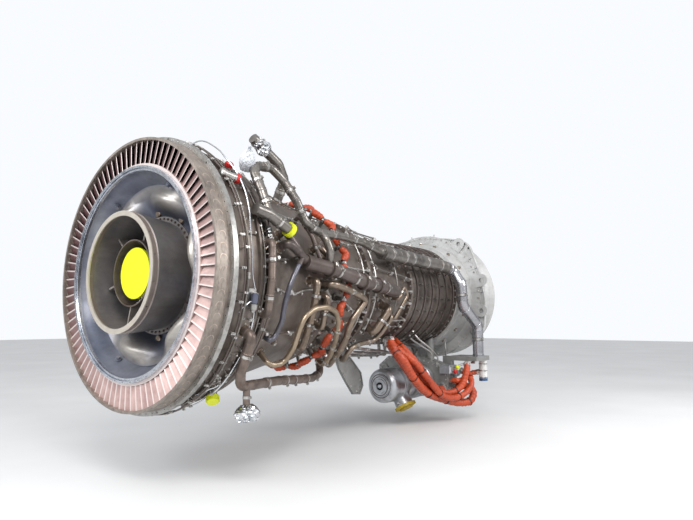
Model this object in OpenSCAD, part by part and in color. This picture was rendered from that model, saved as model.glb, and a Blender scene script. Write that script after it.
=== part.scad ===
/* [Rear nozzle ring] */
// Radius of the vane tips, which is the outer wall of the gas path at the rear
nozzle_tip_r = 750; // [740:1:756]
// Radius of the vane roots, which is the inner wall of the gas path at the rear
nozzle_root_r = 620; // [600:1:640]
// Number of nozzle vanes
vane_count = 84; // [60:1:90]
// Length of a vane along the engine axis
vane_length = 68; // [50:1:72]
// Largest thickness of a vane
vane_thickness = 9; // [6:0.5:11]
// Length of the nozzle bands along the engine axis
nozzle_length = 85; // [80:1:120]
// Wall of the outer nozzle band
outer_band_wall = 15; // [8:1:18]
// Wall of the inner nozzle band
inner_band_wall = 15; // [8:1:18]

/* [Rear flange] */
// Outer radius of the rear flange
flange_r = 787; // [784:1:800]
// Thickness of the rear flange
flange_t = 30; // [20:1:40]
// Radius of the circle of bolt holes in the rear flange
flange_bolt_r = 776; // [773:0.5:778]
// Diameter of a bolt hole in the rear flange
flange_hole_d = 11; // [8:1:12]
// Number of bolt holes in the rear flange
flange_hole_count = 12; // [6:1:24]

/* [Rear frame] */
// Radius of the rim of the dish
dish_rim_r = 578; // [560:1:585]
// How far the rim of the dish stands behind the rear flange face
dish_rim_x = 64; // [40:1:66]
// Depth of the well floor in front of the rear flange face
well_depth = 118; // [90:1:140]
// Radius of the rim of the drum
drum_r = 335; // [300:1:360]
// How far the drum stands behind the rear flange face
drum_reach = 150; // [110:1:160]
// Radius of the foot flange of the drum
drum_foot_r = 345; // [338:1:360]
// Radius of the neck of the drum, next to its foot flange
drum_neck_r = 314; // [300:1:320]
// Number of holes in the band behind the rim of the drum
drum_hole_count = 15; // [8:1:24]
// Wall of the drum
drum_wall = 12; // [6:1:16]
// Radius of the sump tube
sump_r = 190; // [170:1:200]
// How far the sump tube stands behind the rear flange face
sump_reach = 65; // [40:1:90]
// Radius of the protective cap in the sump tube
cap_r = 145; // [120:1:150]
// Number of struts in the rear frame
strut_count = 8; // [6:1:10]
// Number of round fairings in the dish
fairing_count = 6; // [4:1:6]
// Radius of the round of a fairing
fairing_r = 200; // [185:1:205]

/* [Cases] */
// Station of the front face of the turbine frame
frame_end_x = 335; // [320:1:360]
// Station of the front face of the turbine case
turbine_end_x = 1000; // [900:5:1010]
// Station of the front face of the combustor case
combustor_end_x = 1515; // [1500:5:1600]
// Station of the front face of the rear compressor case
rear_case_end_x = 2215; // [2100:5:2220]
// Station of the front face of the front compressor case
front_case_end_x = 3015; // [3005:5:3100]
// Station of the front face of the front frame
front_frame_end_x = 3335; // [3320:5:3400]
// Outer radius of the combustor case
combustor_r = 505; // [480:1:515]
// Outer radius of the front compressor case
compressor_r = 425; // [400:1:435]
// Outer radius of the front frame flange
front_flange_r = 625; // [615:1:640]

/* [Fuel system] */
// Number of fuel nozzles
fuel_count = 30; // [20:1:36]
// Diameter of the sleeved fuel ring
fuel_hose_d = 30; // [24:1:34]

/* [Variable vanes] */
// Number of vane rings on the front compressor case
vane_ring_count = 6; // [3:1:7]
// Number of levers on each ring
vane_lever_count = 24; // [12:2:36]
// Height of a vane ring over the case
vane_ring_h = 28; // [22:1:40]
// Length of a lever between its spindle and its ring
vane_lever_l = 44; // [30:1:50]
// Thickness of a lever
vane_lever_t = 4; // [3:0.5:6]

/* [Inlet] */
// Radius of the gas path wall at the inlet
inlet_r = 500; // [470:1:520]
// Radius of the hub at the inlet
inlet_hub_r = 235; // [200:1:250]
// Length of the bellmouth in front of the front frame
bellmouth_length = 280; // [240:5:300]
// Wall of the bellmouth
bellmouth_wall = 8; // [5:1:12]

/* [Hidden] */
$fn = 96;
// Gap left between curved faces of separate pieces
fit = 0.3;

// Colours
steel = [0.45, 0.42, 0.39];
bright = [0.82, 0.82, 0.82];
tan = [0.60, 0.50, 0.40];
dish_blue = [0.42, 0.44, 0.50];
cap_yellow = [0.80, 0.90, 0.10];
warm_grey = [0.66, 0.64, 0.60];

// Weld collars on the pipes
collar_half = 4;
collar_lap = 1.5;
collar_proud = 6;
slight_turn = 16;
least_cut = 12;
// Feet of the pipes on the cases
foot_h = 12;
foot_rim = 10;

case_wall = 14;
hub_wall_r = nozzle_root_r - 5;
foot_x = well_depth;
floor_r = drum_foot_r + 25;
// The wall of the dish runs from its rim down to a ledge, and its slope from the ledge to the floor
dish_lip = [-dish_rim_x + 12, dish_rim_r - 4];
dish_ledge = [well_depth * 0.29, dish_rim_r - 56];
dish_low = [well_depth * 0.6, floor_r + 100];
band_r = nozzle_root_r - inner_band_wall;

// Outer profiles of the cases as [station, radius]; a point of a flange or band has a third value
frame_profile = [
    [flange_t, nozzle_tip_r + 4], [108, nozzle_tip_r],
    [110, nozzle_tip_r + 12, 1], [124, nozzle_tip_r + 12, 1],
    [126, nozzle_tip_r - 8], [208, nozzle_tip_r - 12],
    [210, nozzle_tip_r + 4, 1], [224, nozzle_tip_r + 4, 1],
    [226, nozzle_tip_r - 28], [frame_end_x - 14, nozzle_tip_r - 52],
    [frame_end_x - 14, nozzle_tip_r - 30, 1], [frame_end_x, nozzle_tip_r - 30, 1]
];
turbine_profile = [
    [frame_end_x, nozzle_tip_r - 30, 1], [frame_end_x + 16, nozzle_tip_r - 30, 1],
    [frame_end_x + 18, nozzle_tip_r - 68], [frame_end_x + 120, nozzle_tip_r - 98],
    [turbine_end_x - 60, combustor_r + 48], [turbine_end_x - 30, combustor_r + 45],
    [turbine_end_x - 22, combustor_r + 60, 1], [turbine_end_x, combustor_r + 60, 1]
];
combustor_profile = [
    [turbine_end_x, combustor_r + 60, 1], [turbine_end_x + 18, combustor_r + 60, 1],
    [turbine_end_x + 20, combustor_r + 5], [turbine_end_x + 250, combustor_r],
    [combustor_end_x - 18, combustor_r - 5],
    [combustor_end_x - 16, combustor_r + 25, 1], [combustor_end_x, combustor_r + 25, 1]
];
rear_profile = [
    [combustor_end_x, combustor_r + 25, 1], [combustor_end_x + 16, combustor_r + 25, 1],
    [combustor_end_x + 18, combustor_r - 15],
    [(combustor_end_x + rear_case_end_x) / 2, compressor_r + 40],
    [rear_case_end_x - 18, compressor_r + 5],
    [rear_case_end_x - 16, compressor_r + 40, 1], [rear_case_end_x, compressor_r + 40, 1]
];
front_profile = [
    [rear_case_end_x, compressor_r + 40, 1], [rear_case_end_x + 16, compressor_r + 40, 1],
    [rear_case_end_x + 18, compressor_r], [front_case_end_x - 18, compressor_r + 15],
    [front_case_end_x - 16, compressor_r + 55, 1], [front_case_end_x, compressor_r + 55, 1]
];
inlet_profile = [
    [front_case_end_x, compressor_r + 55, 1], [front_case_end_x + 16, compressor_r + 55, 1],
    [front_case_end_x + 18, inlet_r + 10], [front_frame_end_x - 120, inlet_r + 40],
    [front_frame_end_x - 118, front_flange_r, 1], [front_frame_end_x - 95, front_flange_r, 1],
    [front_frame_end_x - 93, inlet_r + 60], [front_frame_end_x - 24, inlet_r + 60],
    [front_frame_end_x - 22, front_flange_r, 1], [front_frame_end_x, front_flange_r, 1]
];
function but_last(profile) = [for (i = [0 : len(profile) - 2]) profile[i]];
cases_profile = concat(but_last(frame_profile), but_last(turbine_profile),
                       but_last(combustor_profile), but_last(rear_profile),
                       but_last(front_profile), inlet_profile);

// Radius of the cases at a station, without their flanges
case_table = [for (p = cases_profile) if (len(p) == 2) p];
function case_at(x) = lookup(x, case_table);

// Solid of revolution about the engine axis, from points of [station, radius]
module turned(points, angle = 360) {
    rotate([0, 90, 0])
        rotate_extrude(angle = angle)
            polygon([for (p = points) [p[1], p[0]]]);
}

// Case that is solid inside, under its outer profile
module closed_case(profile) {
    turned(concat([[profile[0][0], 0]], profile, [[profile[len(profile) - 1][0], 0]]));
}

// What touches the cases is cut back to one clearance from them
module clear_of_cases() {
    difference() {
        union() children();
        turned(concat([[flange_t, 0]], [for (p = cases_profile) [p[0], p[1] + fit]],
                      [[front_frame_end_x, 0]]));
    }
}

// Round foot on the cases
module foot(x, clock, r) {
    stand(x, clock, case_at(x) - r / 2) cylinder(h = r / 2 + fit + foot_h, r = r);
}

// Plain ring about the engine axis
module ring(from_x, to_x, outer_r, inner_r) {
    turned([[from_x, inner_r], [to_x, inner_r], [to_x, outer_r], [from_x, outer_r]]);
}

// Puts a piece at a station and clock angle, standing outwards from a radius
module stand(x, clock, radius) {
    translate([x, 0, 0]) rotate([clock, 0, 0]) translate([0, 0, radius]) children();
}

// Upright strut of lens section, its length along the engine axis
module lens(length, thickness, height) {
    r = (length * length / 4 + thickness * thickness / 4) / thickness;
    linear_extrude(height = height) intersection() {
        translate([0, r - thickness / 2]) circle(r = r, $fn = 180);
        translate([0, thickness / 2 - r]) circle(r = r, $fn = 180);
    }
}

// Point at a station, clock angle and radius; the clock runs from the top towards -Y
function spot(p) = [p[0], -p[2] * sin(p[1]), p[2] * cos(p[1])];
function unit(v) = v / norm(v);
function turn_angle(u, v) = acos(max(-1, min(1, u * v)));
function side_of(u) = unit(cross(u, abs(u[2]) < 0.9 ? [0, 0, 1] : [1, 0, 0]));

// Straight length of round bar or pipe between two points
module straight(a, b, d) {
    u = unit(b - a);
    e = side_of(u);
    f = cross(u, e);
    multmatrix([[e[0], f[0], u[0], a[0]], [e[1], f[1], u[1], a[1]], [e[2], f[2], u[2], a[2]]])
        cylinder(h = norm(b - a), d = d);
}

// Bend of a pipe at a corner, from direction u to direction v
module elbow(corner, u, v, bend, d) {
    angle = turn_angle(u, v);
    m = unit(v - (u * v) * u);
    n = cross(-m, u);
    c = corner - u * bend * tan(angle / 2) + m * bend;
    multmatrix([[-m[0], u[0], n[0], c[0]], [-m[1], u[1], n[1], c[1]], [-m[2], u[2], n[2], c[2]]])
        rotate_extrude(angle = angle) translate([bend, 0]) circle(d = d, $fn = 48);
}

// Pipe of diameter d along corners p. A corner is rounded to the bend radius, with a weld collar
// at each end of the bend; a slight corner is a mitre inside one wider collar
module pipe(p, d, bend) {
    last = len(p) - 1;
    u = [for (i = [0 : last - 1]) unit(p[i + 1] - p[i])];
    turn = [for (i = [0 : last]) i == 0 || i == last ? 0 : turn_angle(u[i - 1], u[i])];
    slight = [for (a = turn) a < slight_turn];
    radius = [for (a = turn) a < slight_turn ? 0 : max(bend, least_cut / tan(a / 2))];
    cut = [for (i = [0 : last]) (slight[i] ? d / 2 : radius[i]) * tan(turn[i] / 2)];
    lap = [for (i = [0 : last]) i == 0 || i == last ? 0 : cut[i] + collar_lap];
    for (i = [0 : last - 1])
        straight(p[i] + u[i] * lap[i], p[i + 1] - u[i] * lap[i + 1], d);
    for (i = [1 : last - 1])
        if (slight[i]) {
            collar(p[i], unit(u[i - 1] + u[i]), d, 2 * cut[i] + collar_half);
        } else {
            elbow(p[i], u[i - 1], u[i], radius[i], d);
            collar(p[i] - u[i - 1] * cut[i], u[i - 1], d, collar_half);
            collar(p[i] + u[i] * cut[i], u[i], d, collar_half);
        }
}

module collar(c, w, d, half) {
    straight(c - w * half, c + w * half, d + collar_proud);
}

// Corner of a route: [station, clock, height over the case], or [station, clock] for a foot on it
function route_point(c) = spot([c[0], c[1], case_at(c[0]) + (len(c) == 2 ? fit + foot_h / 2 : c[2])]);

// Pipe along a route, with a round foot wherever the route ends on the case
module routed(route, d, bend) {
    pipe([for (c = route) route_point(c)], d, bend);
    for (c = [route[0], route[len(route) - 1]])
        if (len(c) == 2) foot(c[0], c[1], d / 2 + foot_rim);
}

// The same route on the far side of the engine
function far_side(route) = [for (c = route) len(c) == 2 ? [c[0], -c[1]] : [c[0], -c[1], c[2]]];

// Radial post between the case and a pipe that runs over it
module post(x, clock, height, d) {
    foot(x, clock, d / 2 + foot_rim);
    stand(x, clock, case_at(x) + fit) cylinder(h = height, d = d);
}

module rear_flange() {
    color(bright) difference() {
        ring(0, flange_t, flange_r, nozzle_tip_r - 10);
        for (i = [0 : flange_hole_count - 1])
            rotate([360 / flange_hole_count * (i + 0.5), 0, 0])
                translate([-1, 0, flange_bolt_r]) rotate([0, 90, 0])
                    cylinder(h = flange_t + 2, d = flange_hole_d);
    }
}

module nozzle_outer_band() {
    color(tan) ring(-nozzle_length, 0, nozzle_tip_r + outer_band_wall, nozzle_tip_r);
}

module nozzle_inner_band() {
    color(tan) ring(-nozzle_length + 12, 0, nozzle_root_r, band_r);
}

// Section of a vane, aft edge at the origin: going aft, the vane turns towards the -Y side at
// the top of the engine
module vane_section() {
    thick = vane_thickness;
    sweep = vane_length * 1.35;
    polygon([
        [0, 0],
        [vane_length * 0.02, -2],
        [vane_length * 0.38, sweep * 0.64 - thick * 0.6],
        [vane_length * 0.66, sweep * 0.90 - thick * 0.6],
        [vane_length * 0.88, sweep - thick * 0.5],
        [vane_length, sweep + thick * 0.3],
        [vane_length * 0.88, sweep + thick * 0.9],
        [vane_length * 0.66, sweep * 0.94 + thick * 0.7],
        [vane_length * 0.36, sweep * 0.64 + thick * 0.4]
    ]);
}

module nozzle_vane() {
    intersection() {
        ring(-nozzle_length, 0, nozzle_tip_r - fit, nozzle_root_r + fit);
        translate([-vane_length - 2, 0, nozzle_root_r - 20])
            linear_extrude(height = nozzle_tip_r - nozzle_root_r + 40) vane_section();
    }
}

module nozzle_vanes() {
    color([0.80, 0.66, 0.60])
        for (i = [0 : vane_count - 1])
            rotate([360 / vane_count * i, 0, 0]) nozzle_vane();
}

module seal_ring() {
    color(bright) turned([
        [-dish_rim_x, dish_rim_r],
        [-dish_rim_x - 16, dish_rim_r],
        [-dish_rim_x - 16, dish_rim_r + 10],
        [-dish_rim_x - 10, dish_rim_r + 10],
        [-dish_rim_x - 10, dish_rim_r + 14],
        [-dish_rim_x - 26, dish_rim_r + 14],
        [-dish_rim_x - 26, band_r - fit],
        [-dish_rim_x, band_r - fit]
    ]);
}

module frame_hub() {
    color(dish_blue) {
        turned([
            [frame_end_x, 0],
            [frame_end_x, hub_wall_r - 15],
            [0, hub_wall_r],
            [0, band_r - fit],
            [-dish_rim_x, band_r - fit],
            [-dish_rim_x, dish_rim_r],
            dish_lip,
            dish_ledge,
            dish_ledge + [2, -8],
            dish_low,
            [well_depth * 0.9, floor_r + 22],
            [well_depth, floor_r],
            [well_depth, 0]
        ]);
        fairings();
    }
}

// Round fairings over the struts, between the foot flange of the drum and the wall of the dish
module fairings() {
    intersection() {
        for (i = [0 : fairing_count - 1])
            stand(fairing_r, 360 / fairing_count * i + 8, (drum_foot_r + dish_ledge[1]) / 2 + 6)
                sphere(r = fairing_r);
        ring(-fairing_r / 4, well_depth + 20, dish_rim_r - 3, drum_foot_r + 5);
    }
}

module rear_drum() {
    band_l = 32;
    lip = 12;
    foot_t = 14;
    color([0.72, 0.68, 0.62]) difference() {
        turned([
            [foot_x, drum_foot_r],
            [foot_x - foot_t, drum_foot_r],
            [foot_x - foot_t, drum_neck_r],
            [-drum_reach + band_l + 4, drum_r + 6],
            [-drum_reach + band_l, drum_r],
            [-drum_reach + 8, drum_r],
            [-drum_reach, drum_r + 4],
            [-drum_reach, drum_r - drum_wall - lip],
            [-drum_reach + 8, drum_r - drum_wall - lip],
            [-drum_reach + 10, drum_r - drum_wall],
            [-drum_reach + band_l + 4, drum_r - drum_wall],
            [foot_x, drum_neck_r - drum_wall]
        ]);
        for (i = [0 : drum_hole_count - 1])
            stand(-drum_reach + band_l / 2, 360 / drum_hole_count * i + 5.5, drum_r - drum_wall - 5)
                cylinder(h = drum_wall + 10, d = 9);
    }
}

module sump_tube() {
    color([0.55, 0.53, 0.45]) ring(-sump_reach, foot_x, sump_r, sump_r - 8);
}

module sump_cap() {
    color(cap_yellow) turned([
        [foot_x, 0],
        [foot_x, cap_r - 12],
        [-sump_reach + 34, cap_r - 12],
        [-sump_reach + 34, cap_r],
        [-sump_reach + 20, cap_r],
        [-sump_reach + 20, 0]
    ]);
}

module drum_ribs() {
    color([0.50, 0.47, 0.42]) intersection() {
        turned([[-30, sump_r + fit], [foot_x, sump_r + fit],
                [foot_x, drum_neck_r - drum_wall - fit], [-30, drum_neck_r - drum_wall - fit]]);
        for (i = [0 : 5])
            rotate([60 * i + 15, 0, 0]) translate([-30, -5, 0]) cube([200, 10, drum_r]);
    }
}

module turbine_frame_case() {
    color(steel) turned(concat(
        [[flange_t, nozzle_tip_r - 10]],
        frame_profile,
        [[frame_end_x, nozzle_tip_r - 80], [226, nozzle_tip_r - 28 - case_wall]]
    ));
}

module frame_struts() {
    color([0.35, 0.30, 0.28]) intersection() {
        turned([
            [90, hub_wall_r + fit],
            [280, hub_wall_r + fit],
            [280, nozzle_tip_r - 62],
            [226, nozzle_tip_r - 28 - case_wall - fit],
            [90, nozzle_tip_r - 28 - case_wall - fit]
        ]);
        for (i = [0 : strut_count - 1])
            stand(185, 360 / strut_count * i, hub_wall_r - 20) lens(180, 44, 160);
    }
}

module turbine_case() {
    color([0.43, 0.38, 0.34]) closed_case(turbine_profile);
}

module combustor_case() {
    color([0.47, 0.44, 0.40]) closed_case(combustor_profile);
}

module compressor_rear_case() {
    color([0.48, 0.45, 0.41]) closed_case(rear_profile);
}

module compressor_front_case() {
    color([0.50, 0.47, 0.44]) closed_case(front_profile);
}

function vane_ring_x(i) = rear_case_end_x + 90 + i * (front_case_end_x - rear_case_end_x - 160)
                          / (vane_ring_count - 1);

module vane_rings() {
    color([0.58, 0.55, 0.52])
        for (i = [0 : vane_ring_count - 1])
            let (x = vane_ring_x(i))
            ring(x - 9, x + 9, case_at(x) + vane_ring_h + 13, case_at(x) + vane_ring_h);
}

// Lever of one variable vane: a spindle on the case and a flat arm that reaches to its ring
module vane_lever(x) {
    base_r = case_at(x - vane_lever_l) + fit;
    arm_r = case_at(x) + vane_ring_h - vane_lever_t - fit;
    translate([x - vane_lever_l, 0, base_r]) {
        cylinder(h = 10, d = 26, $fn = 32);
        cylinder(h = arm_r - base_r + vane_lever_t + 6, d = 14, $fn = 32);
    }
    translate([x - vane_lever_l - 10, -6, arm_r]) cube([vane_lever_l + 16, 12, vane_lever_t]);
}

module vane_levers() {
    color([0.62, 0.60, 0.57])
        for (i = [0 : vane_ring_count - 1], j = [0 : vane_lever_count - 1])
            rotate([360 / vane_lever_count * (j + 0.5), 0, 0]) vane_lever(vane_ring_x(i));
}

frame_back_x = front_case_end_x + 60;
hub_front_x = front_frame_end_x - 60;
// Radius of the inlet's outer wall and of its hub at a station in the front frame
function inlet_wall_at(x) = inlet_r - 60 * (front_frame_end_x - x) / (front_frame_end_x - frame_back_x);
function inlet_hub_at(x) = inlet_hub_r + 20 * (hub_front_x - x) / (hub_front_x - frame_back_x);

module front_frame() {
    color(warm_grey) turned(concat(
        [[front_case_end_x, 0]],
        inlet_profile,
        [[front_frame_end_x, inlet_r],
         [frame_back_x, inlet_wall_at(frame_back_x)],
         [frame_back_x, inlet_hub_at(frame_back_x)],
         [hub_front_x, inlet_hub_r],
         [hub_front_x, 0]]
    ));
}

module nose_cone() {
    nose_x = hub_front_x;
    color(warm_grey) turned([
        [nose_x, 0],
        [nose_x, inlet_hub_r],
        [nose_x + 120, inlet_hub_r * 0.94],
        [nose_x + 230, inlet_hub_r * 0.75],
        [nose_x + 310, inlet_hub_r * 0.45],
        [nose_x + 340, inlet_hub_r * 0.18],
        [nose_x + 345, 0]
    ]);
}

module inlet_struts() {
    color(warm_grey) intersection() {
        turned([
            [frame_back_x + fit, inlet_hub_at(frame_back_x) + fit],
            [hub_front_x, inlet_hub_r + fit],
            [hub_front_x, inlet_wall_at(hub_front_x) - fit],
            [frame_back_x + fit, inlet_wall_at(frame_back_x) - fit]
        ]);
        for (i = [0 : 4])
            stand(front_case_end_x + 170, 72 * i, inlet_hub_r - 20) lens(140, 30, inlet_r);
    }
}

module bellmouth() {
    mouth_x = front_frame_end_x;
    color(warm_grey) turned([
        [mouth_x, front_flange_r - 5],
        [mouth_x + 14, front_flange_r - 5],
        [mouth_x + 16, inlet_r + bellmouth_wall],
        [mouth_x + bellmouth_length * 0.5, inlet_r + bellmouth_wall + 14],
        [mouth_x + bellmouth_length * 0.85, inlet_r + bellmouth_wall + 55],
        [mouth_x + bellmouth_length, inlet_r + bellmouth_wall + 100],
        [mouth_x + bellmouth_length, inlet_r + 95],
        [mouth_x + bellmouth_length * 0.85, inlet_r + 52],
        [mouth_x + bellmouth_length * 0.5, inlet_r + 13],
        [mouth_x, inlet_r]
    ]);
}

fuel_x = turbine_end_x + 130;
fuel_top_r = combustor_r + 70;
module fuel_nozzles() {
    base_r = case_at(fuel_x - 30) + fit;
    color(steel)
        for (i = [0 : fuel_count - 1])
            stand(fuel_x, 360 / fuel_count * (i + 0.5), base_r) {
                cylinder(h = 12, d = 60);
                cylinder(h = fuel_top_r - base_r, d = 28);
            }
}

module fuel_manifold() {
    color([0.90, 0.38, 0.20]) {
        rotate([0, 90, 0]) rotate_extrude()
            translate([fuel_top_r + 18, fuel_x]) circle(d = fuel_hose_d);
        for (i = [0 : fuel_count - 1])
            stand(fuel_x, 360 / fuel_count * (i + 0.5), fuel_top_r + fit)
                cylinder(h = 18, d = 22);
    }
}

// Tube from the tee over the rear frame and forward, and the wide duct it feeds
bleed_route = [[275, 68, 85], [262, 58, 102], [262, 49, 119], [330, 44, 146], [470, 41, 186],
               [560, 45, 169], [610, 54, 145], [664, 63, 113], [815, 66, 111], [1113, 64, 160],
               [1330, 64, 147], [1560, 65, 117], [1700, 65, 113]];
duct_route = [[1640, 65, 113], [1881, 64, 112], [2209, 64, 134], [2495, 65, 130], [2690, 65.4, 126],
              [2745, 66.2, 125]];
tee_route = [[175, 67, 60], [275, 68, 85], [430, 71.5, 106]];
module bleed_tube() {
    color(tan) clear_of_cases() {
        routed(bleed_route, 52, 60);
        routed(duct_route, 110, 130);
        routed(tee_route, 64, 90);
        post(262, 68, 82, 36);
        post(1900, 64, 99, 50);
        post(2725, 65.8, 105, 36);
    }
}

module tee_cap() {
    end = route_point(tee_route[2]);
    u = unit(end - route_point(tee_route[1]));
    color(cap_yellow) straight(end + u * fit, end + u * 30, 84);
}

// Stub over the top of the turbine case
module top_stub() {
    color([0.42, 0.38, 0.36]) clear_of_cases()
        routed([[455, 25.5, 278], [583, 26.4, 250], [690, 27.6, 226], [775, 29, 153], [775, 29]], 64, 70);
}

// Dark manifold along the near side and the tube that feeds it from the turbine case
manifold_route = [[640, 83, 58], [759, 84, 75], [885, 84.5, 96], [1036, 87, 154], [1235, 90, 155],
                  [1471, 91, 119], [1700, 93, 108], [1800, 94, 105], [1800, 94]];
feed_route = [[450, 77], [450, 77, 82], [532, 79.5, 82], [615, 82, 71], [680, 83.3, 62]];
hose_stub = [600, 81, 75];
hose_root = [540, 86, 77];
module side_manifold() {
    color([0.30, 0.26, 0.25]) clear_of_cases() {
        routed(manifold_route, 90, 70);
        routed(feed_route, 50, 50);
        straight(route_point(hose_stub), route_point(hose_root), 34);
        post(830, 84.3, 65, 40);
        for (i = [2, 4, 5])
            let (c = route_point(manifold_route[i])) straight(c - [8, 0, 0], c + [8, 0, 0], 118);
    }
}

module cooling_tubes() {
    color([0.62, 0.52, 0.42]) clear_of_cases() {
        routed([[915, 93], [915, 93, 97], [1035, 94.5, 145], [1207, 98, 146], [1308, 101, 141],
                [1250, 107, 140], [1185, 115, 144], [1215, 124, 144], [1241, 135, 145],
                [1280, 148, 146], [1345, 156, 137], [1345, 156]], 46, 50);
        routed([[759, 92], [759, 92, 78], [766, 108, 69], [790, 124, 71], [827, 133, 74],
                [827, 133]], 44, 38);
        routed([[900, 100], [900, 100, 79], [930, 120, 85], [930, 120]], 38, 38);
        routed([[840, 72], [840, 72, 67], [915, 78, 82], [915, 78]], 38, 38);
    }
}

module loop_pipe() {
    color([0.66, 0.56, 0.44]) clear_of_cases()
        routed([[470, 133], [470, 133, 111], [590, 133, 128], [616, 125, 119], [621, 115, 100],
                [649, 110, 94], [720, 106, 102], [830, 105, 125], [930, 107, 145],
                [1000, 113, 164], [1080, 125, 161], [1150, 138, 158], [1215, 152, 159],
                [1215, 152]], 33, 38);
}

// Wide drain manifold under the turbine and its stub that hangs down
drain_root = route_point([300, 137.5, 129]);
drain_l = 190;
module drain_manifold() {
    color([0.44, 0.37, 0.33]) clear_of_cases() {
        routed([[167, 115], [167, 115, 82], [184, 130, 96], [250, 137, 122], [356, 138, 144],
                [637, 143, 160], [941, 151, 182], [1183, 159, 199], [1400, 167, 158],
                [1400, 167]], 54, 55);
        straight(drain_root, drain_root - [0, 0, drain_l], 38);
    }
}

module side_tube() {
    color([0.45, 0.38, 0.34]) clear_of_cases()
        routed([[262, 79], [262, 79, 82], [250, 94, 79], [258, 108, 81], [258, 108]], 40, 40);
}

// Hose between the feed tube and the flange of the turbine case
module drain_hose() {
    root = route_point(hose_root);
    u = unit(root - route_point(hose_stub));
    color([0.36, 0.38, 0.45]) clear_of_cases() {
        pipe(concat([root + u * fit, root + u * 45],
                    [for (c = [[470, 96, 63], [450, 104, 59], [462, 112, 61], [446, 119, 63],
                               [400, 121, 67], [400, 121]]) route_point(c)]), 30, 40);
        foot(400, 121, 28);
    }
}

module compressor_tubes() {
    color([0.58, 0.50, 0.40]) clear_of_cases() {
        routed([[1750, 107], [1750, 107, 91], [1650, 128, 94], [1650, 128]], 60, 55);
        routed([[1835, 114], [1835, 114, 88], [1781, 129, 89], [1736, 136, 97],
                [1574, 137, 98], [1440, 138, 109], [1420, 143, 128], [1463, 152, 139],
                [1463, 152]], 38, 38);
        routed([[1890, 100], [1890, 100, 78], [1965, 88, 81], [2020, 96, 86],
                [1905, 118, 79], [1905, 118]], 28, 34);
    }
}

module oil_lines() {
    color(bright) clear_of_cases() {
        routed([[1600, 146], [1600, 146, 77], [2350, 163, 135], [2350, 163]], 26, 34);
        routed([[1640, 153], [1640, 153, 80], [2350, 170, 135], [2350, 170]], 26, 34);
        routed([[1680, 160], [1680, 160, 83], [2350, 177, 135], [2350, 177]], 26, 34);
    }
}

// The far side repeats the near side's long tubes
module far_tubes() {
    color([0.52, 0.45, 0.38]) clear_of_cases() {
        routed(far_side([[480, 50], [480, 50, 113], [815, 58, 111], [1330, 60, 147],
                         [1560, 61, 117], [1900, 62, 109], [1900, 62]]), 52, 60);
        routed(far_side([[560, 92], [560, 92, 104], [885, 92, 121], [1235, 94, 160],
                         [1700, 96, 108], [1700, 96]]), 80, 70);
        routed(far_side([[759, 108], [759, 108, 90], [1000, 120, 134], [1241, 135, 145],
                         [1345, 150, 137], [1345, 150]]), 44, 45);
        routed(far_side([[1750, 112], [1750, 112, 86], [1600, 132, 90], [1600, 132]]), 50, 50);
    }
}

// Polished pipe from the wide duct down to the filter head
module polished_pipe() {
    start = route_point(duct_route[5]);
    u = unit(start - route_point(duct_route[4]));
    color([0.85, 0.85, 0.86])
        pipe([start + u * fit, start + u * 102, [2852, -600, 80], [2868, -605, -115],
              [3190, filter_y, -300], [3190, filter_y, filter_head_top + fit]], 100, 90);
}

// Sleeved hoses from the cases over the gearbox down to it
gear_side = -440;
module orange_hoses() {
    color([0.92, 0.36, 0.18]) clear_of_cases() {
        case_hose([2050, 141], [[1990, -462, -545], [2208, -465, -727], [2420, -465, -862],
                  [2687, -480, -945], [2900, -530, -1000], [3030, -610, -992], [3055, -610, -890],
                  [2985, -570, -850], [2985, gear_side - fit, -850]], 56, 50);
        case_hose([2140, 149], [[2080, -398, -552], [2309, -400, -739], [2526, -400, -876],
                  [2690, -404, -876], [gearbox_x - fit, -404, -876]], 56, 60);
        pipe([[2900, gear_side - fit, -800], [2900, -540, -800], [3100, -530, -780],
              [filter_x, -460, -745], [filter_x, filter_y + filter_d / 2 + fit, -745]], 40, 40);
    }
}

// Hose that starts on a foot on the case at [station, clock] and goes on along free points
module case_hose(start, points, d, bend) {
    out = case_at(start[0]) + fit + foot_h / 2;
    pipe(concat([spot([start[0], start[1], out]), spot([start[0], start[1], out + 110])], points),
         d, bend);
    foot(start[0], start[1], d / 2 + foot_rim);
}

starter_y = -160;
starter_z = -810;
starter_face_x = 2150;
exhaust_clock = 150;
exhaust_reach = 200;
gearbox_x = 2850;
gearbox_top = -600;
filter_head_top = -590;
filter_x = 3290;
filter_y = -600;
filter_d = 77;

module along_x(x, y, z) {
    translate([x, y, z]) rotate([0, 90, 0]) children();
}

// Accessory gearbox: a wide casting across the engine with round pads on both faces
module gearbox() {
    color([0.62, 0.62, 0.60]) {
        translate([gearbox_x, 0, 0]) rotate([90, 0, 90]) linear_extrude(height = 200)
            polygon([[gear_side, -900], [gear_side, -730], [-330, -660], [-140, gearbox_top],
                     [200, gearbox_top], [310, -690], [310, -860], [230, -950], [-390, -950]]);
        along_x(gearbox_x - 20, starter_y, starter_z) cylinder(h = 21, d = 300);
        along_x(gearbox_x - 20, 130, -790) cylinder(h = 21, d = 190);
        along_x(gearbox_x + 199, -250, -810) cylinder(h = 31, d = 210);
        along_x(gearbox_x + 199, 100, -800) cylinder(h = 31, d = 190);
        // Filter head
        translate([gearbox_x + 190, filter_y - 48, filter_head_top - 40])
            cube([filter_x + 45 - gearbox_x - 190, 300, 40]);
        translate([gearbox_x + 190, -390, -700]) cube([60, 90, 700 + filter_head_top]);
        // Posts up to the front frame
        clear_of_cases()
            for (y = [-180, 180])
                translate([gearbox_x + 160, y, gearbox_top - 30]) cylinder(h = 240, d = 80);
    }
}

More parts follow.
